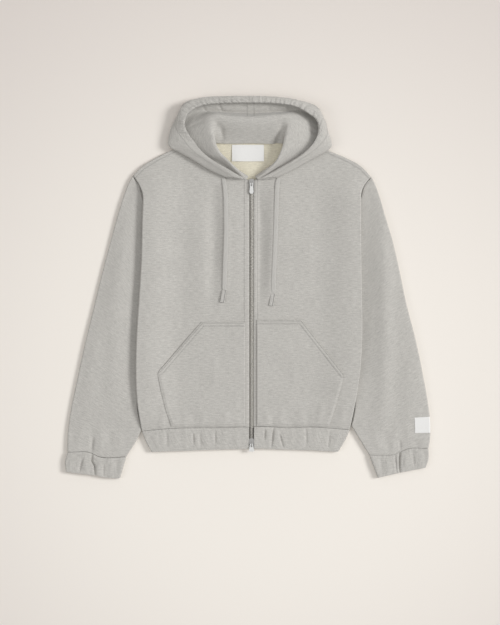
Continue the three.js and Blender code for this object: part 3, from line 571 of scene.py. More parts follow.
def body_panel(edges, grid, face, sides, relief, neck=None):
    """Outer and inner grids of a front or the back.

    A height is half the body's thickness, plus or minus the cloth's radius times the rise of the roll, plus
    the lift over the sleeves and the creases. sides gives the end of each side seam, 0 or 1.
    """
    columns, rows = grid
    grids = []
    for radius in (BODY_HALF, BODY_HALF - CLOTH):
        width = width_at(edges, crowd(rows))
        width = np.concatenate([width, np.full(len(ROLL), width[-1])])
        ends = sides.values()
        u, rise_u = stations_for(columns, width, radius, BODY_HALF, 0 in ends, 1 in ends)
        middle = u[rows // 2]
        top, hem = (patch(*edges, middle, np.full(len(middle), k)) for k in (1.0, 0.0))
        tall = np.linalg.norm(top - hem, axis=1)
        v, rise_v = stations_for(rows, tall, radius, BODY_HALF, False, True)
        v = v.T
        points = patch(*edges, u, v)
        rolled = np.broadcast_to(rise_v[:, None], u.shape)
        if neck:
            rolled = np.where((u > neck[0]) & (u < neck[1]), 1.0, rolled)
        lift = sum(lift_at(np.abs(k - u) * width[:, None], v, side_name) for side_name, k in sides.items())
        x, y = points[..., 0], points[..., 1]
        z = BODY_HALF + face * radius * rise_u[None] * rolled + lift + relief(x, y) * rise_u[None]
        z -= face * HEM_DIP * np.exp(-((v * tall[None] / DIP_WIDTH) ** 2))
        if len(sides) == 1:
            z -= EDGE_DIP * np.exp(-((u * width[:, None] / EDGE_WIDTH) ** 2))
        grids.append(np.stack([x, y, z], -1))
    return grids


def near_line(x, y, points):
    """Distance to a line of points and the length run along it, for each x and y."""
    points = np.asarray(points, float)
    best, run = np.full(x.shape, 1e9), np.zeros(x.shape)
    start = 0.0
    for (ax, ay), (bx, by) in zip(points[:-1], points[1:]):
        span = math.hypot(bx - ax, by - ay)
        k = np.clip(((x - ax) * (bx - ax) + (y - ay) * (by - ay)) / span**2, 0, 1)
        away = np.hypot(x - ax - k * (bx - ax), y - ay - k * (by - ay))
        closer = away < best
        run = np.where(closer, start + k * span, run)
        best = np.where(closer, away, best)
        start += span
    return best, run


def creases(x, y, table):
    """Height of soft troughs and ridges: each is its width, its height and the points that it runs along.

    Across a crease the height falls as the exponential of minus the squared distance in widths, and along
    it the height follows a power of half a sine wave.
    """
    total = np.zeros(x.shape)
    for width, height, *points in table:
        away, run = near_line(x, y, points)
        whole = sum(math.dist(a, b) for a, b in zip(points[:-1], points[1:]))
        taper = np.sin(math.pi * np.clip(run / whole, 0, 1)) ** CREASE_TAPER
        total += height * np.exp(-((away / width) ** 2)) * taper
    return total


def edge_layer(points, line):
    """UV layer: the distance to a line and the length along it, in metres."""
    away, run = near_line(points[..., 0], points[..., 1], line)
    return np.stack([away, run], -1) * MM


def cloth_layer(points):
    """UV layer: the place seen from above, in metres."""
    return points[..., :2] * MM


back_edges = (edge_of(BACK_HEM), edge_of(BACK_TOP, (4, 12)), edge_of(LEFT_SIDE), edge_of(RIGHT_SIDE))
grids = body_panel(
    back_edges, BACK_GRID, -1, {"left": 0, "right": 1}, lambda x, y: 0, (NECK_FROM, NECK_TO))
back = shell("back_panel", *grids, {"cloth": cloth_layer(grids[0])})
register_piece(back, fleece("back fleece", FLEECE_COLOUR), "back")
back.data.materials.append(fleece("cream pile", CREAM_COLOUR, contrast=0.8, bump=0.0009))
pile_side = np.zeros(len(back.data.polygons), np.int32)
face_count = (grids[0].shape[0] - 1) * (grids[0].shape[1] - 1)
pile_side[face_count : 2 * face_count] = 1
back.data.polygons.foreach_set("material_index", pile_side)

# Fronts: a left and a right panel from the zip to the side and shoulder seams. They lie on the back, roll
# over at the seams, and have a topstitched fly along the zip. Gathers rise from the hem band.
LEFT_CENTRE = [
    [0, -4.6, -291.5], [0.82, -4.6, 226.8], [0.87, -33.8, 238.1], [0.91, -60.3, 254.9],
    [0.95, -80.9, 277.2], [0.98, -92.8, 298.2], [1, -96.8, 322.8],
]
RIGHT_CENTRE = [
    [0, 4.8, -291.1], [0.82, 4.8, 226.8], [0.87, 32.6, 238.1], [0.91, 59.9, 254.9],
    [0.95, 80.9, 277.2], [0.98, 92.8, 298.2], [1, 96.8, 322.8],
]
LEFT_SHOULDER = [
    [0, -96.8, 322.8], [0.45, -163.8, 291.9], [0.69, -201.2, 273.0], [0.88, -230.8, 254.5],
    [1, -248.9, 235.8],
]
RIGHT_SHOULDER = [
    [0, 96.8, 322.8], [0.44, 162.8, 288.8], [0.69, 203.5, 270.9], [0.87, 232.9, 253.3],
    [1, 251.4, 233.1],
]
LEFT_HEM = [
    [0, -4.6, -291.6], [0.03, -10.7, -291.8], [0.226, -55.7, -293.1], [0.73, -169.1, -294.9],
    [1, -230.8, -300.4],
]
RIGHT_HEM = [
    [0, 4.8, -291.2], [0.12, 28.4, -291.0], [0.325, 70.4, -293.5], [0.585, 122.9, -292.0],
    [1, 206.4, -297.5],
]
# Width, height, then points
BODY_CREASES = [
    (11, -3.6, (-81, 224), (-80, 120), (-81, 40), (-84, -48)),
    (11, -3.6, (17, 216), (18, 120), (17, 20), (12, -56)),
    (12, -1.3, (9, 222), (9, 180), (13, 130)),
    (20, 1.6, (-108, 210), (-105, 100), (-108, -60)),
    (11, 4.2, (-57, 230), (-54, 120), (-55, 60), (-58, -22)),
    (16, 2.2, (-36, 226), (-33, 120), (-34, 40), (-38, -40)),
    (11, 4.2, (47, 228), (45, 120), (43, 60), (39, -30)),
    (20, 2.6, (70, 222), (68, 120), (66, 40), (60, -40)),
    (30, 1.2, (104, 210), (102, 110), (100, 20), (92, -50)),
    (7, 1.3, (-186, -297), (-184, -270), (-176, -236)),
    (6, -1.0, (-180, -297), (-177, -272)),
    (6, 1.2, (-142, -296), (-140, -276), (-146, -252)),
    (5, -1.0, (-123, -296), (-121, -280), (-122, -262)),
    (6, 1.1, (-104, -295), (-101, -274), (-104, -256)),
    (5, -0.9, (-77, -295), (-76, -276)),
    (7, 1.2, (-58, -295), (-54, -272), (-58, -250)),
    (6, 0.9, (-30, -294), (-28, -272)),
    (6, 1.1, (30, -293), (32, -270), (28, -250)),
    (4, -1.1, (46, -294), (44, -280), (45, -268)),
    (7, 1.2, (62, -294), (60, -272), (66, -246)),
    (6, -0.9, (84, -295), (85, -278)),
    (7, 1.1, (100, -294), (104, -268), (98, -244)),
    (6, -1.0, (116, -295), (118, -276), (116, -260)),
    (7, 1.2, (140, -294), (142, -270), (150, -240)),
    (6, -0.9, (165, -296), (168, -276)),
    (8, 1.0, (184, -297), (190, -270), (200, -240)),
    (26, 0.9, (-215, 150), (-190, 40), (-200, -80)),
    (24, -0.8, (-190, 190), (-165, 90), (-180, -20)),
    (30, 0.4, (205, 160), (182, 30), (196, -90)),
    (30, 0.6, (-120, 180), (-110, 60), (-130, -40)),
    (30, 0.6, (130, 170), (110, 40), (125, -50)),
]
ZIP_FLAT = 6
ZIP_FADE = 12
SHOULDER_ROW = 6.5
FRONT_GRID = (92, 190)


def body_relief(x, y):
    """The fronts' creases, fading out beside the zip."""
    return creases(x, y, BODY_CREASES) * ease((np.abs(x) - ZIP_FLAT) / ZIP_FADE)


# Side, the four edges, how far the fly's stitches are from the zip's edge, and the flat size
FRONTS = (
    ("left", LEFT_HEM, LEFT_SHOULDER, LEFT_CENTRE, LEFT_SIDE, 11, (0.247, 0.640)),
    ("right", RIGHT_HEM, RIGHT_SHOULDER, RIGHT_CENTRE, RIGHT_SIDE, 7.5, (0.249, 0.637)),
)
for side_name, hem, shoulder, centre, side_line, fly_row, flat in FRONTS:
    edges = (edge_of(hem), edge_of(shoulder), edge_of(centre, (1,)), edge_of(side_line))
    grids = body_panel(edges, FRONT_GRID, 1, {side_name: 1}, body_relief)
    fly = [row[1:] for row in centre[:2]]
    seam = [row[1:] for row in shoulder]
    front = shell(f"front_panel_{side_name}", *grids, {
        "cloth": cloth_layer(grids[0]), "fly": edge_layer(grids[0], fly),
        "shoulder": edge_layer(grids[0], seam)})
    rows_sewn = (("fly", fly_row), ("shoulder", SHOULDER_ROW))
    front_look = fleece(f"front fleece {side_name}", FLEECE_COLOUR, rows_sewn)
    register_piece(front, front_look, f"front_{side_name}")

# Pocket: half of a kangaroo pocket on each front, sewn at the top, the side and into the hem band, open on
# the slant. Two rows of stitches run along the slant and the top.
LEFT_POCKET = [
    [-167.8, -290.6], [-179.8, -255.6], [-190.5, -212.1], [-196.3, -180.6], [-193.2, -173.9],
    [-163.8, -139.7], [-134.4, -105.4], [-104.8, -71.4],
]
RIGHT_POCKET = [
    [163.4, -290.2], [174.1, -258.3], [187.5, -212.1], [194.2, -185.8], [192.8, -179.8],
    [163.2, -141.8], [133.8, -104.6], [104.4, -66.8],
]
POCKET_CLOTH = 2.4
POCKET_CREASES = [
    (9, 0.8, (-190, -175), (-150, -130), (-108, -78)),
    (12, 0.5, (-100, -100), (-80, -180), (-95, -260)),
    (9, 0.8, (188, -180), (150, -135), (106, -76)),
    (12, 0.5, (70, -100), (90, -180), (80, -260)),
]
POCKET_GRID = (76, 90)
POCKET_SEWN = 0.55
POCKET_THIN = 0.72
PUFF_REACH = 30
# Start and reach of each smooth step up: from the sewn side and hem, the opening and top, and the zip side
SEAM_START, SEAM_REACH = 0.12, 7
RIM_START, RIM_REACH = 0.55, 3
INNER_START, INNER_REACH = 0.3, 3
SIDE_ROWS = 6
OPENING_FROM = 3
# Each row of stitches along the opening: distance from its edge, depth and width of its furrow
POCKET_ROWS = ((2.4, 0.45, 1.3), (8.6, 0.35, 1.6))
pocket_look = fleece("pocket fleece", FLEECE_COLOUR, [("edge", row) for row, depth, wide in POCKET_ROWS])
for side_name, outline, inside_x, side_line in (
    ("left", LEFT_POCKET, -13.6, LEFT_SIDE), ("right", RIGHT_POCKET, 10.7, RIGHT_SIDE)):
    rim = np.asarray(outline, float)
    y = rim[0, 1] + crowd(POCKET_GRID[1]) * (rim[-1, 1] - rim[0, 1])
    x_edge = np.interp(y, rim[:, 1], rim[:, 0])
    x = inside_x + (x_edge - inside_x)[:, None] * crowd(POCKET_GRID[0])
    y = np.broadcast_to(y[:, None], x.shape)
    side_rows = np.asarray(side_line, float)[:SIDE_ROWS]
    up = np.interp(y, side_rows[:, 2], side_rows[:, 0])
    to_side = np.abs(np.interp(y, side_rows[:, 2], side_rows[:, 1]) - x)
    base = 2 * BODY_HALF + lift_at(to_side, up, side_name) + body_relief(x, y)
    away, run = near_line(x, y, [(inside_x, rim[-1, 1]), *map(tuple, rim[:OPENING_FROM:-1])])
    sewn = near_line(x, y, [*map(tuple, rim[: OPENING_FROM + 1])])[0]
    sewn = np.minimum(sewn, y - rim[0, 1])
    thick = POCKET_CLOTH * (POCKET_THIN + (1 - POCKET_THIN) * ease(away / PUFF_REACH))
    puff = np.maximum(creases(x, y, POCKET_CREASES), 0) + thick
    furrow = sum(depth * np.exp(-(((away - row) / wide) ** 2)) for row, depth, wide in POCKET_ROWS)
    at_edges = ease(SEAM_START + sewn / SEAM_REACH) * ease(RIM_START + away / RIM_REACH)
    at_edges = at_edges * ease(INNER_START + (np.abs(x) - abs(inside_x)) / INNER_REACH)
    rise = POCKET_SEWN + (puff - furrow - POCKET_SEWN) * at_edges
    under = np.stack([x, y, base + POCKET_SEWN / 3], -1)
    over = np.stack([x, y, base + POCKET_SEWN + rise], -1)
    pocket = shell(f"pocket_panel_{side_name}", over, under, {
        "cloth": cloth_layer(over), "edge": np.stack([away, run], -1) * MM})
    register_piece(pocket, pocket_look, f"pocket_{side_name}")

# Sleeves: each is one piece of fleece closed to a tube, set into the armhole at its end and gathered into
# the cuff. It lies flat with its edges rolled, its inner edge under the body.
LEFT_SLEEVE_OUTER = [
    [0.0, -250.1, 235.4], [0.02, -256.0, 224.7], [0.049, -262.9, 209.0], [0.134, -278.9, 160.9],
    [0.236, -295.1, 101.9], [0.338, -311.0, 42.8], [0.472, -329.9, -34.6],
    [0.603, -348.6, -110.9], [0.749, -367.3, -196.6], [0.85, -379.5, -255.6],
    [0.932, -386.0, -303.9], [1.0, -387.0, -344.8],
]
LEFT_SLEEVE_INNER = [
    [0.0, -215.2, 185.6], [0.193, -217.6, 79.8], [0.384, -223.2, -25.2], [0.556, -228.7, -119.7],
    [0.69, -231.0, -193.2], [0.803, -238.8, -254.5], [0.845, -235.2, -277.2],
    [0.885, -231.8, -299.2], [0.901, -235.4, -307.4], [0.928, -241.9, -320.5],
    [1.0, -262.9, -354.1],
]
LEFT_SLEEVE_END = [
    [0.0, -250.1, 235.4], [0.43, -235.0, 211.5], [0.795, -228.5, 188.4], [1.0, -215.2, 185.6],
]
LEFT_SLEEVE_SEAM = [
    [0.0, -387.0, -344.8], [0.391, -337.9, -346.1], [0.533, -321.7, -353.6],
    [1.0, -262.9, -354.7],
]
RIGHT_SLEEVE_OUTER = [
    [0.0, 252.6, 232.7], [0.023, 258.5, 220.5], [0.054, 265.2, 203.7], [0.149, 281.2, 150.2],
    [0.245, 297.2, 96.6], [0.348, 310.6, 37.8], [0.479, 326.6, -37.4], [0.6, 344.2, -105.6],
    [0.721, 358.9, -175.1], [0.824, 369.6, -234.2], [0.912, 375.5, -285.6],
    [0.969, 374.9, -319.2], [1.0, 371.9, -336.8],
]
RIGHT_SLEEVE_INNER = [
    [0.0, 217.4, 188.2], [0.197, 218.2, 79.8], [0.388, 219.5, -25.2], [0.56, 219.0, -119.7],
    [0.694, 217.4, -193.2], [0.801, 216.7, -252.4], [0.847, 212.5, -277.2],
    [0.869, 210.0, -289.0], [0.885, 214.2, -296.5], [0.951, 232.9, -327.6], [1.0, 247.2, -350.7],
]
RIGHT_SLEEVE_END = [
    [0.0, 252.6, 232.7], [0.434, 236.0, 211.5], [0.78, 230.8, 190.7], [1.0, 217.4, 188.2],
]
RIGHT_SLEEVE_SEAM = [
    [0.0, 371.9, -336.8], [0.314, 332.0, -336.8], [0.607, 297.2, -350.1], [1.0, 247.2, -350.5],
]
SLEEVE_HALF = 4.5
SLEEVE_CREASES = {
    "left": [
        (15, -3.4, (-226, 204), (-230, 90), (-238, -25), (-243, -110), (-244, -190), (-236, -268)),
        (22, -3.3, (-254, 228), (-279, 161), (-311, 43), (-349, -111), (-367, -197), (-380, -256),
         (-388, -330)),
        (20, 3.6, (-262, 190), (-272, 90), (-281, -25), (-288, -110), (-290, -190), (-284, -270)),
        (26, 2.2, (-292, 60), (-314, -30), (-328, -120), (-338, -200), (-334, -290)),
        (24, 0.8, (-340, -60), (-352, -160), (-366, -250)),
        (9, 1.0, (-366, -344), (-362, -316), (-352, -280)),
        (3.2, -3.2, (-336, -347), (-335, -330), (-333, -312)),
        (8, -1.4, (-335, -344), (-335, -318), (-334, -286)),
        (8, 1.1, (-318, -346), (-314, -318), (-318, -286)),
        (7, -0.9, (-300, -348), (-298, -320), (-300, -300)),
        (8, 0.9, (-280, -348), (-276, -324), (-284, -296)),
        (14, 0.8, (-245, -290), (-285, -262), (-320, -262)),
    ],
    "right": [
        (15, -2.9, (225, 208), (227, 60), (228, -60), (224, -150), (210, -256)),
        (12, -2.0, (247, 212), (241, 170), (241, 60), (240, -60), (236, -150), (224, -250)),
        (20, 6.4, (272, 214), (277, 120), (280, 0), (281, -130), (278, -235), (270, -310)),
        (30, 3.6, (294, 60), (316, -20), (330, -130), (334, -230), (322, -318)),
        (24, 0.8, (345, -70), (352, -170), (358, -250)),
        (8, 1.0, (270, -344), (262, -316), (256, -290)),
        (7, -1.0, (288, -346), (284, -320), (282, -300)),
        (7, 1.1, (302, -344), (300, -316), (306, -284)),
        (3.2, -2.2, (312, -342), (312, -330), (311, -318)),
        (7, -1.0, (306, -348), (304, -330), (300, -312)),
        (8, 1.1, (332, -338), (330, -310), (322, -280)),
        (6, -0.8, (348, -338), (346, -320)),
        (8, 0.8, (360, -338), (358, -314)),
        (14, 0.8, (215, -290), (255, -262), (295, -262)),
    ],
}
SLEEVE_TUCK = 2.6
SLEEVE_GRID = (190, 84)
BEND_STEPS = 13
FLOOR_COLUMNS = 18
FINE_STEPS = 400


def ring_points(edges, grid, half, radius, relief, ends=None):
    """Grid of a flattened tube and the place across and width of each row, in shares and millimetres.

    A row goes round a rolled edge, the top, the other rolled edge and the floor. A height is half the
    thickness plus the radius times the rise, 1 on the top, -1 on the floor and a sine between. ends leaves
    the tube open on the top between those two places across.
    """
    rows, columns = grid
    v = crowd(rows)
    width = width_at(edges, v)[:, None]
    bend = np.radians(np.linspace(-90, 90, BEND_STEPS))
    inset = (half - radius * np.cos(bend)) * ROLL_WIDTH / width
    low, high = half * ROLL_WIDTH / width, 1 - half * ROLL_WIDTH / width
    top, floor = (low + np.linspace(0, 1, count)[None, 1:-1] * (high - low)
                  for count in (columns, FLOOR_COLUMNS))
    rise, on_floor = np.sin(bend), -np.ones(floor.shape[1])
    if ends is None:
        shares = [inset, top, 1 - inset[:, ::-1], floor[:, ::-1]]
        rises = [rise, np.ones(top.shape[1]), rise[::-1], on_floor]
    else:
        fine = np.broadcast_to(np.linspace(0, 1, FINE_STEPS), (rows, FINE_STEPS))
        at = patch(*edges, fine, np.broadcast_to(v[:, None], fine.shape))[..., 0]
        opens = [np.array([[np.interp(end, row, fine[0])] for row in at]) for end in ends]
        left = opens[0] + np.linspace(0, 1, columns)[None, :-1] * (low - opens[0])
        right = high + np.linspace(0, 1, columns)[None, 1:] * (opens[1] - high)
        shares = [left, inset[:, ::-1], floor, 1 - inset, right]
        rises = [np.ones(left.shape[1]), rise[::-1], on_floor, rise, np.ones(right.shape[1])]
    u, rise = np.concatenate(shares, 1), np.concatenate(rises)
    points = patch(*edges, u, np.broadcast_to(v[:, None], u.shape))
    x, y = points[..., 0], points[..., 1]
    z = half + radius * rise[None] + relief(x, y) * np.clip(rise, 0, 1)[None]
    return np.stack([x, y, z], -1), u, width


def extended(line, other, amount):
    """An edge moved away from another one, so that it tucks under its neighbour at the seam."""
    def moved(share):
        """The edge's points plus the amount along the way from the other edge."""
        here, there = line(share), other(share)
        away = here - there
        return here + amount * away / np.linalg.norm(away, axis=-1)[..., None]
    return moved


def tube_piece(name, edges, grid, half, cloth, relief, look, replaced, dips, ends=None):
    """A flattened tube of cloth that sinks at its two end seams by the depths in dips."""
    outer, u, width = ring_points(edges, grid, half, half, relief, ends)
    inner = ring_points(edges, grid, half, half - cloth, relief, ends)[0]
    run = run_along(outer)
    left_to_run = run[-1][None] - run
    for points in (outer, inner):
        above = np.clip(points[..., 2] / half - 1, 0, 1)
        points[..., 2] -= above * (dips[0] * np.exp(-((run / DIP_WIDTH) ** 2))
                                   + dips[1] * np.exp(-((left_to_run / DIP_WIDTH) ** 2)))
    made = shell(name, outer, inner, {"cloth": np.stack([u * width, run], -1) * MM}, closed=ends is None)
    register_piece(made, look, replaced)


sleeve_look = fleece("sleeve fleece", FLEECE_COLOUR)
SLEEVES = (
    ("left", LEFT_SLEEVE_END, LEFT_SLEEVE_SEAM, LEFT_SLEEVE_OUTER, LEFT_SLEEVE_INNER),
    ("right", RIGHT_SLEEVE_END, RIGHT_SLEEVE_SEAM, RIGHT_SLEEVE_OUTER, RIGHT_SLEEVE_INNER),
)
sleeve_edges = {}
for side_name, end, *others in SLEEVES:
    seam, outer_edge, inner_edge = map(edge_of, others)
    sleeve_edges[side_name] = (extended(edge_of(end, (2,)), seam, SLEEVE_TUCK), seam, outer_edge, inner_edge)
    tube_piece(f"sleeve_tube_{side_name}", sleeve_edges[side_name], SLEEVE_GRID, SLEEVE_HALF, CLOTH,
               partial(creases, table=SLEEVE_CREASES[side_name]), sleeve_look, f"sleeve_{side_name}",
               dips=(1.0, 0.5))

# Cuffs: each is a band of doubled fleece round elastic, seamed to the sleeve's end, so the cloth stands in
# short uneven folds.
LEFT_CUFF_TOP = [
    [0.0, -387.0, -345.4], [0.391, -337.9, -346.7], [0.533, -321.7, -354.3],
    [1.0, -262.9, -355.3],
]
LEFT_CUFF_BOTTOM = [
    [0.0, -390.2, -385.6], [0.264, -360.2, -389.8], [0.529, -329.9, -393.5],
    [0.781, -301.4, -398.6], [1.0, -276.2, -399.8],
]
LEFT_CUFF_OUTER = [
    [0.0, -387.0, -345.4], [0.437, -391.4, -362.7], [1.0, -390.2, -385.6],
]
LEFT_CUFF_INNER = [
    [0.0, -262.9, -355.3], [0.273, -266.5, -367.5], [1.0, -276.2, -399.8],
]
RIGHT_CUFF_TOP = [
    [0.0, 371.9, -337.5], [0.314, 332.0, -337.5], [0.607, 297.2, -350.7], [1.0, 247.2, -351.1],
]
RIGHT_CUFF_BOTTOM = [
    [0.0, 366.4, -377.2], [0.289, 337.1, -383.0], [0.55, 310.6, -388.1], [0.787, 286.7, -393.5],
    [1.0, 265.2, -399.0],
]
RIGHT_CUFF_OUTER = [
    [0.0, 371.9, -337.5], [0.481, 372.5, -357.0], [1.0, 366.4, -377.2],
]
RIGHT_CUFF_INNER = [
    [0.0, 247.2, -351.1], [0.473, 255.6, -373.8], [1.0, 265.2, -399.0],
]
CUFF_HALF = 5.2
CUFF_CLOTH = 4.0
CUFF_CREASES = {
    "left": [
        (5, 1.0, (-378, -346), (-380, -370), (-378, -396)),
        (2.4, -3.2, (-355, -357), (-359, -372), (-362, -386)),
        (6, 1.2, (-347, -346), (-348, -370), (-346, -398)),
        (2.3, -5.2, (-335, -344), (-335.5, -364), (-330, -374), (-328.5, -398)),
        (6, 1.3, (-322, -350), (-320, -376), (-318, -402)),
        (2.8, -1.8, (-310, -370), (-311, -384), (-312, -397)),
        (6, 1.0, (-294, -352), (-294, -376), (-296, -400)),
        (4, -0.9, (-282, -354), (-283, -380)),
        (5, 0.9, (-272, -352), (-274, -372), (-280, -396)),
    ],
    "right": [
        (5, 1.0, (256, -352), (262, -376), (270, -396)),
        (4, -0.9, (270, -354), (274, -376), (278, -392)),
        (6, 1.1, (282, -350), (286, -372), (288, -396)),
        (2.2, -2.6, (301, -350), (303, -370), (304, -388)),
        (5, 0.5, (306, -344), (305, -366), (306, -390)),
        (2.2, -5.8, (312, -338), (310.5, -362), (311, -390)),
        (6, 1.3, (324, -340), (324, -362), (326, -384)),
        (2.8, -1.6, (338, -340), (340, -360), (342, -378)),
        (6, 1.0, (352, -340), (353, -358), (354, -376)),
        (4, -0.8, (364, -340), (365, -360)),
    ],
}
CUFF_TUCK = 1.3
CUFF_GRID = (40, 116)
ALL_OVER = 9999
cuff_look = fleece("cuff fleece", FLEECE_COLOUR, gathers=("cloth", (210, 50), 1.6, ALL_OVER))
CUFFS = (
    ("left", LEFT_CUFF_TOP, LEFT_CUFF_BOTTOM, LEFT_CUFF_OUTER, LEFT_CUFF_INNER),
    ("right", RIGHT_CUFF_TOP, RIGHT_CUFF_BOTTOM, RIGHT_CUFF_OUTER, RIGHT_CUFF_INNER),
)
for side_name, *lines in CUFFS:
    top, bottom, outer_edge, inner_edge = map(edge_of, lines)
    cuff_edges = (extended(top, bottom, CUFF_TUCK), bottom, outer_edge, inner_edge)
    tube_piece(f"cuff_tube_{side_name}", cuff_edges, CUFF_GRID, CUFF_HALF, CUFF_CLOTH,
               partial(creases, table=CUFF_CREASES[side_name]), cuff_look, f"cuff_{side_name}",
               dips=(0.8, 0.3))

# Hem band: doubled fleece round elastic, sewn to the body's hem from one side of the zip round the back to
# the other, so it stands in short uneven folds.
BAND_TOP = [
    [0.0, -230.8, -301.1], [0.1412, -169.1, -295.7], [0.4006, -55.7, -293.8],
    [0.5279, 0.0, -292.3], [0.5927, 28.4, -291.7], [0.6888, 70.4, -294.2],
    [0.8088, 122.9, -292.7], [1.0, 206.4, -298.2],
]
BAND_BOTTOM = [
    [0.0, -210.6, -344.0], [0.154, -150.2, -342.1], [0.3412, -76.7, -339.4],
    [0.515, -8.4, -337.7], [0.5636, 10.7, -337.3], [0.7155, 70.4, -338.9],
    [0.884, 136.5, -341.2], [1.0, 182.1, -344.0],
]
BAND_LEFT = [
    [0, -230.8, -301.0], [0.5, -222.4, -322.4], [1, -210.6, -344.0],
]
BAND_RIGHT = [
    [0, 206.4, -298.1], [0.5, 195.9, -321.3], [1, 182.1, -344.0],
]
BAND_HALF = 5.4
BAND_CLOTH = 4.4
BAND_ENDS = (-5.3, 5.4)
BAND_CREASES = [
    (7, 0.9, (-206, -300), (-200, -322), (-194, -342)),
    (6, 1.0, (-188, -298), (-186, -320), (-184, -342)),
    (3, -1.8, (-179, -298), (-178, -318), (-177, -334)),
    (6, 0.9, (-160, -296), (-160, -318), (-158, -340)),
    (6, 0.8, (-140, -296), (-138, -318), (-138, -340)),
    (2.2, -3.0, (-123, -305), (-122, -316), (-122, -329)),
    (3, -1.4, (-108, -298), (-108, -318), (-107, -334)),
    (6, 0.9, (-98, -296), (-94, -318), (-96, -338)),
    (2.2, -2.2, (-77, -298), (-76, -316), (-77, -332)),
    (7, 0.8, (-58, -295), (-56, -316), (-58, -337)),
    (7, 0.6, (-30, -294), (-30, -316), (-30, -336)),
    (2.0, -3.2, (28, -297), (28, -308), (27, -319)),
    (6, 0.8, (36, -294), (37, -314), (36, -336)),
    (2.2, -3.6, (46, -292), (44, -314), (41, -336)),
    (6, 0.9, (54, -294), (52, -314), (52, -336)),
    (2.2, -3.2, (58, -306), (63, -322), (67, -335)),
    (6, 0.8, (84, -296), (84, -318), (84, -337)),
    (6, 0.8, (100, -296), (102, -318), (102, -338)),
    (2.6, -1.8, (114, -296), (115, -316), (114, -334)),
    (7, 0.9, (134, -295), (134, -318), (134, -340)),
    (2.6, -1.8, (164, -298), (163, -318), (160, -338)),
    (6, 0.9, (182, -298), (178, -320), (172, -340)),
]
BAND_TUCK = 1.3
BAND_GRID = (40, 190)
BAND_FLAT = 12
BAND_FADE = 8


def band_relief(x, y):
    """The band's folds, none of them beside the zip."""
    return creases(x, y, BAND_CREASES) * ease((np.abs(x) - BAND_FLAT) / BAND_FADE)


top, bottom, left_end, right_end = map(edge_of, (BAND_TOP, BAND_BOTTOM, BAND_LEFT, BAND_RIGHT))
band_look = fleece("band fleece", FLEECE_COLOUR, gathers=("cloth", (190, 45), 1.5, ALL_OVER))
tube_piece("hem_band_cloth", (extended(top, bottom, BAND_TUCK), bottom, left_end, right_end), BAND_GRID,
           BAND_HALF, BAND_CLOTH, band_relief, band_look, "hem_band",
           dips=(1.0, 0.3), ends=BAND_ENDS)

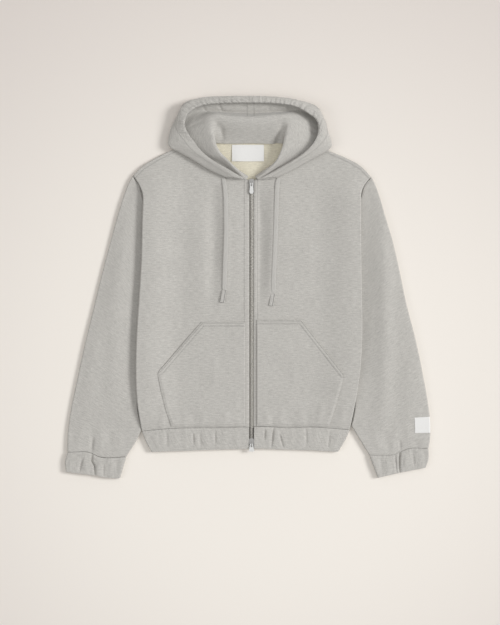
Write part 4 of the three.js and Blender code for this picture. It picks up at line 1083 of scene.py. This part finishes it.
# Hood: shell and lining in two halves on a centre seam, sewn into the neck. It stands up from the neck seam,
# rolls over, sinks into a valley and rises to the face edge, where a casing holds the drawcord.
HOOD = {
    "neck": [
        [-7.6, 233.9, 7.5], [-27.1, 246.5, 6.5], [-51.9, 263.3, 6.5], [-70.8, 282.7, 6.5],
        [-81.7, 294.8, 6.5], [-82.5, 303.7, 6.2], [-76.7, 305.3, 6], [-67.0, 304.1, 6],
        [-57.8, 303.9, 6], [-43.1, 303.9, 6], [-26.2, 304.1, 6], [-2.1, 304.7, 6],
        [22.1, 304.1, 6], [37.8, 303.4, 6], [51.5, 303.4, 6], [63.2, 304.1, 6], [73.7, 305.3, 6],
        [80.0, 303.7, 6.2], [80.0, 294.4, 6.5], [70.4, 282.2, 6.5], [51.0, 262.9, 6.5],
        [26.7, 246.5, 6.5], [7.8, 233.9, 7.5],
    ],
    "roll": [
        [-10.3, 229.3, 14.4], [-31.3, 248.2, 21], [-50.2, 266.7, 25], [-65.7, 282.4, 27],
        [-74.1, 296.1, 28], [-79.2, 315.0, 28.5], [-83.4, 333.9, 28.5], [-82.1, 351.1, 29],
        [-71.4, 358.7, 30], [-54.6, 357.8, 31], [-31.5, 355.5, 31.5], [-2.1, 354.1, 32],
        [26.2, 356.6, 31.5], [51.5, 358.7, 31], [68.9, 357.4, 30], [77.1, 347.6, 29],
        [74.1, 331.8, 28.5], [69.9, 313.9, 28.5], [67.0, 298.2, 28], [61.1, 281.4, 27],
        [50.6, 262.5, 25], [32.6, 245.7, 21], [12.4, 229.3, 14.4],
    ],
    "valley": [
        [-21.2, 228.1, 13.4], [-43.9, 247.4, 14], [-69.1, 265.4, 14], [-98.0, 279.5, 15],
        [-111.0, 296.0, 15.5], [-119.5, 313.5, 15], [-125.5, 331.5, 13.5],
        [-121.0, 353.5, 10.5], [-101.0, 368.0, 8.5], [-65.1, 368.8, 7], [-34.6, 367.5, 7],
        [-2.1, 366.7, 7], [32.6, 367.9, 7], [64.0, 369.2, 7], [98.0, 367.0, 12.5],
        [114.0, 351.5, 16.5], [118.0, 331.5, 17.5], [115.5, 311.0, 18.5], [104.5, 294.0, 18],
        [87.5, 279.6, 16.5], [68.2, 262.5, 14], [47.2, 245.3, 14], [23.3, 228.1, 13.4],
    ],
    "ground": [
        [-41.0, 230.2, 13.4], [-72.5, 244.4, 13.6], [-104.4, 265.4, 13.6], [-132.1, 281.4, 14],
        [-150.2, 295.3, 14], [-154.3, 311.6, 10.5], [-150.6, 331.4, 7], [-140.9, 352.8, 5],
        [-118.7, 373.4, 7], [-85.0, 378.4, 10.5], [-45.1, 376.3, 11], [-2.1, 375.1, 11],
        [45.1, 376.7, 11], [78.8, 378.0, 10.5], [113.5, 371.0, 6.5], [139.5, 350.5, 4.6],
        [147.0, 328.6, 6.5], [150.0, 308.5, 10], [142.2, 291.9, 14.2], [122.4, 277.2, 14.2],
        [97.7, 259.6, 13.6], [67.4, 242.3, 13.6], [38.9, 228.9, 13.4],
    ],
    "fold": [
        [-52.7, 234.4, 16.3], [-88.4, 251.2, 17], [-124.1, 272.6, 17.5], [-151.4, 287.9, 16.0],
        [-170.3, 298.2, 15], [-172.2, 309.5, 13.5], [-167.4, 331.4, 13], [-157.1, 352.4, 13],
        [-136.7, 383.0, 14.5], [-99.3, 390.6, 16.4], [-50.6, 391.0, 16.2], [-2.1, 390.6, 16.2],
        [50.2, 391.0, 16.2], [89.7, 387.7, 16.4], [131.7, 374.2, 16], [152.0, 349.7, 15],
        [158.3, 326.8, 15], [164.8, 308.3, 15.5], [164.8, 296.5, 17], [146.0, 283.9, 17.5],
        [115.7, 268.4, 17.5], [84.2, 252.4, 17], [51.0, 234.8, 16.3],
    ],
    "casing": [
        [-41.8, 233.1, 19.3], [-74.1, 252.4, 21.5], [-110.7, 275.1, 22.5],
        [-137.6, 292.3, 22.5], [-153.1, 306.2, 22.0], [-156.5, 319.6, 21.5],
        [-156.0, 337.7, 21.5], [-152.2, 357.0, 22], [-141.3, 383.0, 22.5],
        [-104.8, 395.6, 23.1], [-53.1, 398.6, 24.4], [-2.1, 399.2, 24.4], [53.1, 397.3, 24.4],
        [96.4, 391.0, 24.8], [137.6, 375.1, 25.5], [147.2, 352.0, 26], [151.4, 331.4, 25.5],
        [154.8, 314.6, 25.5], [149.3, 301.1, 25.5], [131.7, 287.3, 25], [104.8, 270.5, 23.5],
        [73.7, 252.8, 21.5], [41.0, 233.1, 19.3],
    ],
    "rim": [
        [-17.4, 230.2, 20.6], [-51.0, 249.5, 24], [-85.9, 270.1, 25.5], [-108.2, 290.2, 26.0],
        [-119.9, 305.8, 26.0], [-130.4, 319.6, 25.5], [-139.2, 337.3, 26],
        [-138.0, 356.2, 26.3], [-124.1, 372.5, 27.3], [-98.9, 383.0, 28.8],
        [-52.3, 386.6, 30.2], [-2.1, 387.4, 30.2], [52.3, 385.8, 30.2], [92.6, 379.3, 30.3],
        [120.8, 364.1, 30.4], [136.7, 350.3, 30.5], [140.1, 330.1, 30], [135.0, 312.1, 29.5],
        [124.1, 296.1, 29.5], [107.3, 280.6, 28.5], [82.1, 263.8, 26.5], [53.6, 247.8, 24],
        [21.2, 231.0, 20.6],
    ],
}
LINING = 1.4
SEAM_GAP = 0.3
HOOD_COLUMNS = 260
HOOD_CENTRE = -2.1
TOP_LEVEL = 6
CASING_FROM = 4.6
LINING_END = 4.75
CENTRE_SEAM_FROM = 1.15
LEVEL_FADE = 0.35
GATHER = 0.8
GATHER_REACH = 20
GATHER_FRONT = 0.15
GATHER_FROM = 285
GATHER_RISE = 60
GATHER_LEVEL = 4.9
GATHER_LEVELS = 0.8
# Of each of the two sines that make the gathers: its length, its shift and the length of the shift's sine
GATHER_WAVES = ((1.62, 2.2, 13.7), (5.3, 1.4, 31))
FAR = 100
# Level, and how far the shell's outside and its inside stand from the middle surface. The levels go across
# the hood from the neck seam, 0, to the face edge, 6.
CASING = np.array([
    [0, 2.8, -0.15], [4.7, 2.8, -0.15], [4.86, 2.8, 1.4], [5.05, 3.1, 2.6], [5.5, 3.7, 3.3],
    [5.85, 3.4, 2.8], [6, 2.1, 1.6],
])
# First level, last level, width, height, then points
HOOD_CREASES = [
    (-1, 1.0, 5, -3.6, (-82, 353), (-72, 341), (-61, 328), (-62, 316), (-70, 302)),
    (-1, 0.95, 13, -1.6, (-66, 338), (-52, 322), (-50, 306)),
    (-1, 0.95, 6, -3.6, (67, 354), (61, 330), (55, 308), (50, 288), (42, 262)),
    (1.2, 3.4, 3.2, -1.5, (-136, 336), (-112, 345), (-91, 352)),
    (1.2, 3.4, 3.0, -1.4, (91, 338), (103, 323), (117, 308)),
    (1.2, 3.4, 3.0, -1.4, (120, 333), (129, 327), (139, 321)),
    (1.2, 3.4, 6, 0.9, (84, 346), (98, 330), (110, 316)),
    (1.6, 4.6, 2.6, -1.8, (-70, 389), (-66, 380), (-61, 371)),
    (1.6, 4.6, 2.6, -1.6, (-28, 388), (-20, 382), (-8, 378)),
    (1.6, 4.6, 2.8, -1.8, (112, 380), (118, 373), (126, 366)),
    (1.6, 4.6, 3.0, -1.2, (34, 386), (38, 378), (36, 370)),
    (1.6, 4.6, 3.0, -1.2, (74, 386), (78, 377), (74, 368)),
    (1.6, 4.6, 3.0, -1.3, (-104, 384), (-98, 374), (-92, 366)),
    (4.4, 6.2, 5, -1.2, (-150, 350), (-140, 345), (-130, 338)),
    (4.4, 6.2, 5, -1.1, (128, 300), (140, 304), (152, 310)),
]


def through(points, share):
    """Smooth line through points at equal shares; closely set points turn it more sharply.

    Each span is a cubic, whose slopes weigh the spans beside it by the root of their length.
    """
    ends = np.concatenate([[2 * points[0] - points[1]], points, [2 * points[-1] - points[-2]]])
    gap = np.sqrt(np.linalg.norm(np.diff(ends, axis=0), axis=-1))[..., None]
    at = share * (len(points) - 1)
    i = np.clip(at.astype(int), 0, len(points) - 2)
    k = (at - i).reshape((-1,) + (1,) * (points.ndim - 1))
    p0, p1, p2, p3 = (ends[i + n] for n in range(4))
    d0, d1, d2 = (gap[i + n] for n in range(3))
    m1 = ((p1 - p0) / d0 - (p2 - p0) / (d0 + d1) + (p2 - p1) / d1) * d1
    m2 = ((p2 - p1) / d1 - (p3 - p1) / (d1 + d2) + (p3 - p2) / d2) * d1
    return cubic(k, p1, m1, p2, m2)


def hood_surface(sections, levels):
    """Points of the hood's middle surface and its normals, which point to the lining's side.

    Smooth lines run round the hood through the points of each level, and smooth lines across join those. A
    normal is the cross product of the way across and the way round.
    """
    lines = np.stack([np.asarray(line, float) for line in HOOD.values()])
    round_it = through(lines.transpose(1, 0, 2), sections)
    points = through(round_it.transpose(1, 0, 2), levels)
    across = np.gradient(points, axis=1)
    along = np.gradient(points, axis=0)
    normal = np.cross(across, along)
    normal /= np.linalg.norm(normal, axis=-1)[..., None]
    return points, normal


def gathered(points):
    """1 round the top of the hood, where the casing is drawn up, falling to little at its front ends."""
    return GATHER_FRONT + (1 - GATHER_FRONT) * ease((points[..., 1] - GATHER_FROM) / GATHER_RISE)


def hood_relief(points, levels):
    """The hood's creases at each point, and short uneven gathers that fade out from the face edge.

    The gathers are the product of two sines of the way round, a fine and a coarse one, whose phases are
    shifted by slower sines so that no two gathers are alike.
    """
    total = np.zeros(points.shape[:2])
    at = levels * TOP_LEVEL
    for low, high, *crease in HOOD_CREASES:
        reach = ease((at - low) / LEVEL_FADE) * ease((high - at) / LEVEL_FADE)
        total += reach[:, None] * creases(points[..., 0], points[..., 1], [crease])
    around = run_along(points[-1])
    fine, coarse = (np.sin(around / length + shift * np.sin(around / slow))
                    for length, shift, slow in GATHER_WAVES)
    fade = ease((at - GATHER_LEVEL) / GATHER_LEVELS)[:, None]
    return total + GATHER * (fine * coarse)[None] * fade * gathered(points)


casing_levels = np.linspace(CASING_FROM, TOP_LEVEL, 26)
shell_levels = np.unique(np.concatenate([np.linspace(0, CASING_FROM, 40), casing_levels])) / TOP_LEVEL
lining_levels = np.linspace(0, LINING_END, 44) / TOP_LEVEL
hood_look = fleece("hood fleece", FLEECE_COLOUR, (("rim", 20),), gathers=("gathers", (40, 140), 5.2, 22))
lining_look = fleece("hood lining cloth", FLEECE_COLOUR, (("centre", 7.2),))
for side_name, first, last in (("left", 0.0, 0.5), ("right", 0.5, 1.0)):
    sections = np.linspace(first, last, HOOD_COLUMNS)
    for part, levels in (("shell", shell_levels), ("lining", lining_levels)):
        points, normal = hood_surface(sections, levels)
        points = points + normal * hood_relief(points, levels)[..., None]
        run, around = run_along(points), run_along(points, 1)
        to_rim = run[-1][None] - run
        # The centre seam's stitches start above the neck, so below that they are put out of reach
        below = levels[:, None] * TOP_LEVEL < CENTRE_SEAM_FROM
        to_centre = np.abs(points[..., 0] - HOOD_CENTRE) + FAR * below
        if part == "shell":
            out, into = (np.interp(levels * TOP_LEVEL, CASING[:, 0], CASING[:, n])[:, None] for n in (1, 2))
            outer, inner = points - normal * out[..., None], points + normal * into[..., None]
            look, flat, area = hood_look, (0.42, 0.19), 0.0385
        else:
            outer = points + normal * (SEAM_GAP / 2 + LINING)
            inner = points + normal * SEAM_GAP / 2
            look, flat, area = lining_look, (0.40, 0.14), 0.026
        layers = {
            "cloth": (around, run), "rim": (to_rim, around), "centre": (to_centre, run),
            "gathers": (to_rim + GATHER_REACH * (1 - gathered(points)), around),
        }
        made = shell(f"hood_{part}_cloth_{side_name}", outer, inner, {
            title: np.stack(numbers, -1) * MM for title, numbers in layers.items()})
        register_piece(made, look, f"hood_{part}_{side_name}")

# Zip: woven tapes sewn under the edges of the fronts, and a chain of separate cast metal teeth clamped to
# them. The two rows of teeth stand half a pitch apart and mesh down the middle.
ZIP_Y = (-334.0, 230.0)
TOOTH_PITCH = 3.0
TOOTH_START = 1.2
TOOTH_BEVEL = 0.00022
# One tooth: root on the tape's side, head past the middle; x, half width along y, lowest z, highest z
TOOTH = [
    (-3.9, 0.85, 5.4, 7.6), (-2.2, 0.95, 5.35, 8.2), (-0.2, 0.72, 5.35, 8.3), (0.7, 0.95, 5.4, 8.2),
    (1.2, 0.55, 5.7, 7.8),
]
TOOTH_COLOUR = (0.41, 0.395, 0.365)
TAPE_COLOUR = (0.30, 0.285, 0.26)


def woven(name, colour, roughness, sheen, ribs, waver, strength, depth, layer=None):
    """Fine woven ribs, one after another along Y of the piece itself or of its UV layer."""
    material, tree, shader = principled(name, colour, roughness, sheen=sheen)
    if layer:
        source = put(tree, "ShaderNodeUVMap", uv_map=layer).outputs[0]
    else:
        source = put(tree, "ShaderNodeTexCoord").outputs["Object"]
    wave = put(tree, "ShaderNodeTexWave", bands_direction="Y", Vector=source, Scale=ribs, Distortion=waver)
    emboss(tree, wave.outputs[1], strength, depth, shader.inputs["Normal"])
    return material


def metal(name, colour, roughness):
    """Satin metal: fine cast grain and a little uneven polish."""
    material, tree, shader = principled(name, colour, roughness, metallic=1.0)
    source = put(tree, "ShaderNodeTexCoord").outputs["Object"]
    noise = put(tree, "ShaderNodeTexNoise", Vector=source, Scale=900.0, Detail=3.0)
    emboss(tree, noise.outputs[0], 0.15, 0.0001, shader.inputs["Normal"])
    uneven = calc(tree, "MULTIPLY_ADD", noise.outputs[0], 0.2, roughness - 0.1)
    tree.links.new(uneven, shader.inputs["Roughness"])
    return material


def recolour(name, look):
    """A CAD node's own mesh with a new material; gives back the object."""
    piece = nodes[name]
    piece.data.materials.clear()
    piece.data.materials.append(look)
    return piece


def rounded(piece, width, segments):
    """A bevel of the given width on the piece's edges."""
    bevel = piece.modifiers.new("round", "BEVEL")
    bevel.width = width
    bevel.segments = segments
    return bevel


tape_look = woven("zip tape weave", TAPE_COLOUR, 0.85, 0.1, 400.0, 0.5, 0.5, 0.0002)
for name in ("zip_tape_left", "zip_tape_right"):
    recolour(name, tape_look)

corners = np.array([[(x, -w, lo), (x, w, lo), (x, w, hi), (x, -w, hi)] for x, w, lo, hi in TOOTH])
base = corners.reshape(-1, 3)
count = int((ZIP_Y[1] - ZIP_Y[0]) / TOOTH_PITCH) - 1
last = 4 * (len(TOOTH) - 1)
quads = grid_faces(len(TOOTH), 4, True)
quads = np.concatenate([quads, [(3, 2, 1, 0), (last, last + 1, last + 2, last + 3)]])
points, faces = [], []
for n, (side, offset) in enumerate(((1, 0.0), (-1, TOOTH_PITCH / 2))):
    y = ZIP_Y[0] + TOOTH_START + offset + np.arange(count) * TOOTH_PITCH
    row = np.repeat(base[None], count, 0) * (side, 1, 1)
    row[..., 1] += y[:, None]
    row_faces = quads[None] + ((n * count + np.arange(count)) * len(base))[:, None, None]
    points.append(row.reshape(-1, 3))
    faces.append(row_faces.reshape(-1, 4)[:, ::side])
mesh = bpy.data.meshes.new("zip_teeth")
mesh.from_pydata((np.concatenate(points) * MM).tolist(), [], np.concatenate(faces).tolist())
teeth = place("zip_teeth", mesh)
rounded(teeth, TOOTH_BEVEL, 1)
register_piece(teeth, metal("zip teeth metal", TOOTH_COLOUR, 0.42), "zip_chain")

# Sliders and pulls: cast metal with rounded edges. Each slider rides on the chain, and its pull hangs on a
# bar.
PULL_COLOUR = (0.60, 0.60, 0.59)
SLIDER_COLOUR = (0.36, 0.355, 0.345)
SLIDER_BEVEL = 0.00045
SLIDER_ANGLE = 40
puller_look = metal("pull metal", PULL_COLOUR, 0.28)
slider_look = metal("slider metal", SLIDER_COLOUR, 0.38)
for name in ("slider_top", "slider_bottom", "pull_top", "pull_bottom"):
    piece = recolour(name, slider_look if name.startswith("slider") else puller_look)
    bevel = rounded(piece, SLIDER_BEVEL, 3)
    bevel.limit_method = "ANGLE"
    bevel.angle_limit = math.radians(SLIDER_ANGLE)

# Labels: plain white woven satin, left blank. One is sewn in at the back neck and hangs over the back, the
# other is wrapped round the right sleeve's outer edge and sewn flat.
LABEL_COLOUR = (0.80, 0.795, 0.78)
NECK_LABEL_CORNER = (-41, 301)
NECK_LABEL_SIZE = (67.2, 34.8)
NECK_LABEL_HEIGHT = 3.3
NECK_LABEL_THICK = 0.45
label_look = woven("white woven label", LABEL_COLOUR, 0.6, 0.2, 900.0, 0.2, 0.4, 0.0001, "cloth")
kx, ky = np.meshgrid(np.linspace(0, 1, 40), np.linspace(0, 1, 24))
x = NECK_LABEL_CORNER[0] + NECK_LABEL_SIZE[0] * kx
y = NECK_LABEL_CORNER[1] - NECK_LABEL_SIZE[1] * ky
# The free end curls up as the square of the way down, more at the label's sides than in its middle
curl = 0.5 + 1.3 * ky**2 * (0.6 + 0.4 * np.cos(kx * math.pi * 2)) + 0.3 * np.sin(kx * 7)
over = np.stack([x, y, NECK_LABEL_HEIGHT + curl + NECK_LABEL_THICK], -1)
under = np.stack([x, y, NECK_LABEL_HEIGHT + curl], -1)
neck_label = shell("label_neck", over, under, {"cloth": cloth_layer(over)})
register_piece(neck_label, label_look, "neck_label")

LABEL_SHARES = (0.886, 0.943)
LABEL_REACH = 32.0
LABEL_HEIGHTS = (0.25, 0.75)
edges = sleeve_edges["right"]
v = np.linspace(*LABEL_SHARES, 24)
width = width_at(edges, v)[:, None]
bend = np.radians(np.linspace(10, 90, 10))
rise = np.concatenate([np.sin(bend), np.ones(23)])
grids = []
for height in LABEL_HEIGHTS:
    radius = SLEEVE_HALF + height
    inset = (SLEEVE_HALF - radius * np.cos(bend)) * ROLL_WIDTH / width
    level = np.linspace(SLEEVE_HALF * ROLL_WIDTH, LABEL_REACH, 24)[None, 1:] / width
    u = np.concatenate([inset, level], 1)
    plan = patch(*edges, u, np.broadcast_to(v[:, None], u.shape))
    x, y = plan[..., 0], plan[..., 1]
    hill = creases(x, y, SLEEVE_CREASES["right"]) * rise
    grids.append(np.stack([x, y, SLEEVE_HALF + radius * rise[None] + hill], -1))
sleeve_label = shell("label_sleeve", grids[1], grids[0], {"cloth": cloth_layer(grids[1])})
register_piece(sleeve_label, label_look, "sleeve_label")

# Floor: a plain warm cream surface with a painted pool of light round the garment, painted darker away from
# it as a painted falloff of the light.
FLOOR_HALF = 6
FLOOR_LEVEL = -0.0002
FLOOR_COLOUR = (0.80, 0.755, 0.69)
# Painted light: the floor's colour at the middle of the pool of light, and its darker colour far from it
LIGHT_POOL_COLOUR = (0.89, 0.845, 0.785)
LIGHT_FALLOFF_COLOUR = (0.67, 0.615, 0.58)
LIGHT_POOL_CENTRE = (0.02, -0.24, 0)
FADE_FROM = 0.25
FADE_TO = 1.25
corners = [(x * FLOOR_HALF, y * FLOOR_HALF, FLOOR_LEVEL) for x, y in ((-1, -1), (1, -1), (1, 1), (-1, 1))]
floor_mesh = bpy.data.meshes.new("floor")
floor_mesh.from_pydata(corners, [], [(0, 1, 2, 3)])
floor = place("floor", floor_mesh)
floor_look, tree, shader = principled("paper floor", FLOOR_COLOUR, 0.9)
source = put(tree, "ShaderNodeTexCoord").outputs["Object"]
moved = put(tree, "ShaderNodeVectorMath", operation="SUBTRACT", Vector=source)
moved.inputs[1].default_value = LIGHT_POOL_CENTRE
away = put(tree, "ShaderNodeVectorMath", operation="LENGTH", Vector=moved.outputs[0])
fade = put(tree, "ShaderNodeMapRange", interpolation_type="SMOOTHSTEP", Value=away.outputs["Value"],
           From_Min=FADE_FROM, From_Max=FADE_TO)
# Painted light: the floor's colour blends from the pool of light round the garment to the darker falloff
# away from it
tree.links.new(blend(tree, fade.outputs[0], LIGHT_POOL_COLOUR, LIGHT_FALLOFF_COLOUR), shader.inputs["Base Color"])
floor.data.materials.append(floor_look)

# Lights: a low soft key from the right, a weak fill from the left and a light overhead, in an even pale
# room. Each row is the name, where it stands, the size across and the power.
LIGHTS = (
    ("key", (10.4, 1.9, 7.9), 4.8, 1110),
    ("fill", (-9.0, -1.5, 8.2), 7.0, 190),
    ("overhead", (0.0, 0.2, 6.8), 5.6, 66),
)
ROOM_COLOUR = (1.0, 0.99, 0.975, 1)
ROOM_STRENGTH = 0.41
for name, stand, size, power in LIGHTS:
    light = bpy.data.lights.new(name, "AREA")
    light.shape = "DISK"
    light.size = size
    light.energy = power
    lamp = place(name, light)
    lamp.location = stand
    lamp.rotation_euler = (-lamp.location).to_track_quat("-Z", "Y").to_euler()

world = bpy.data.worlds.new("room")
world.use_nodes = True
world.node_tree.nodes["Background"].inputs[0].default_value = ROOM_COLOUR
world.node_tree.nodes["Background"].inputs[1].default_value = ROOM_STRENGTH
bpy.context.scene.world = world
bpy.context.scene.view_settings.view_transform = "Standard"
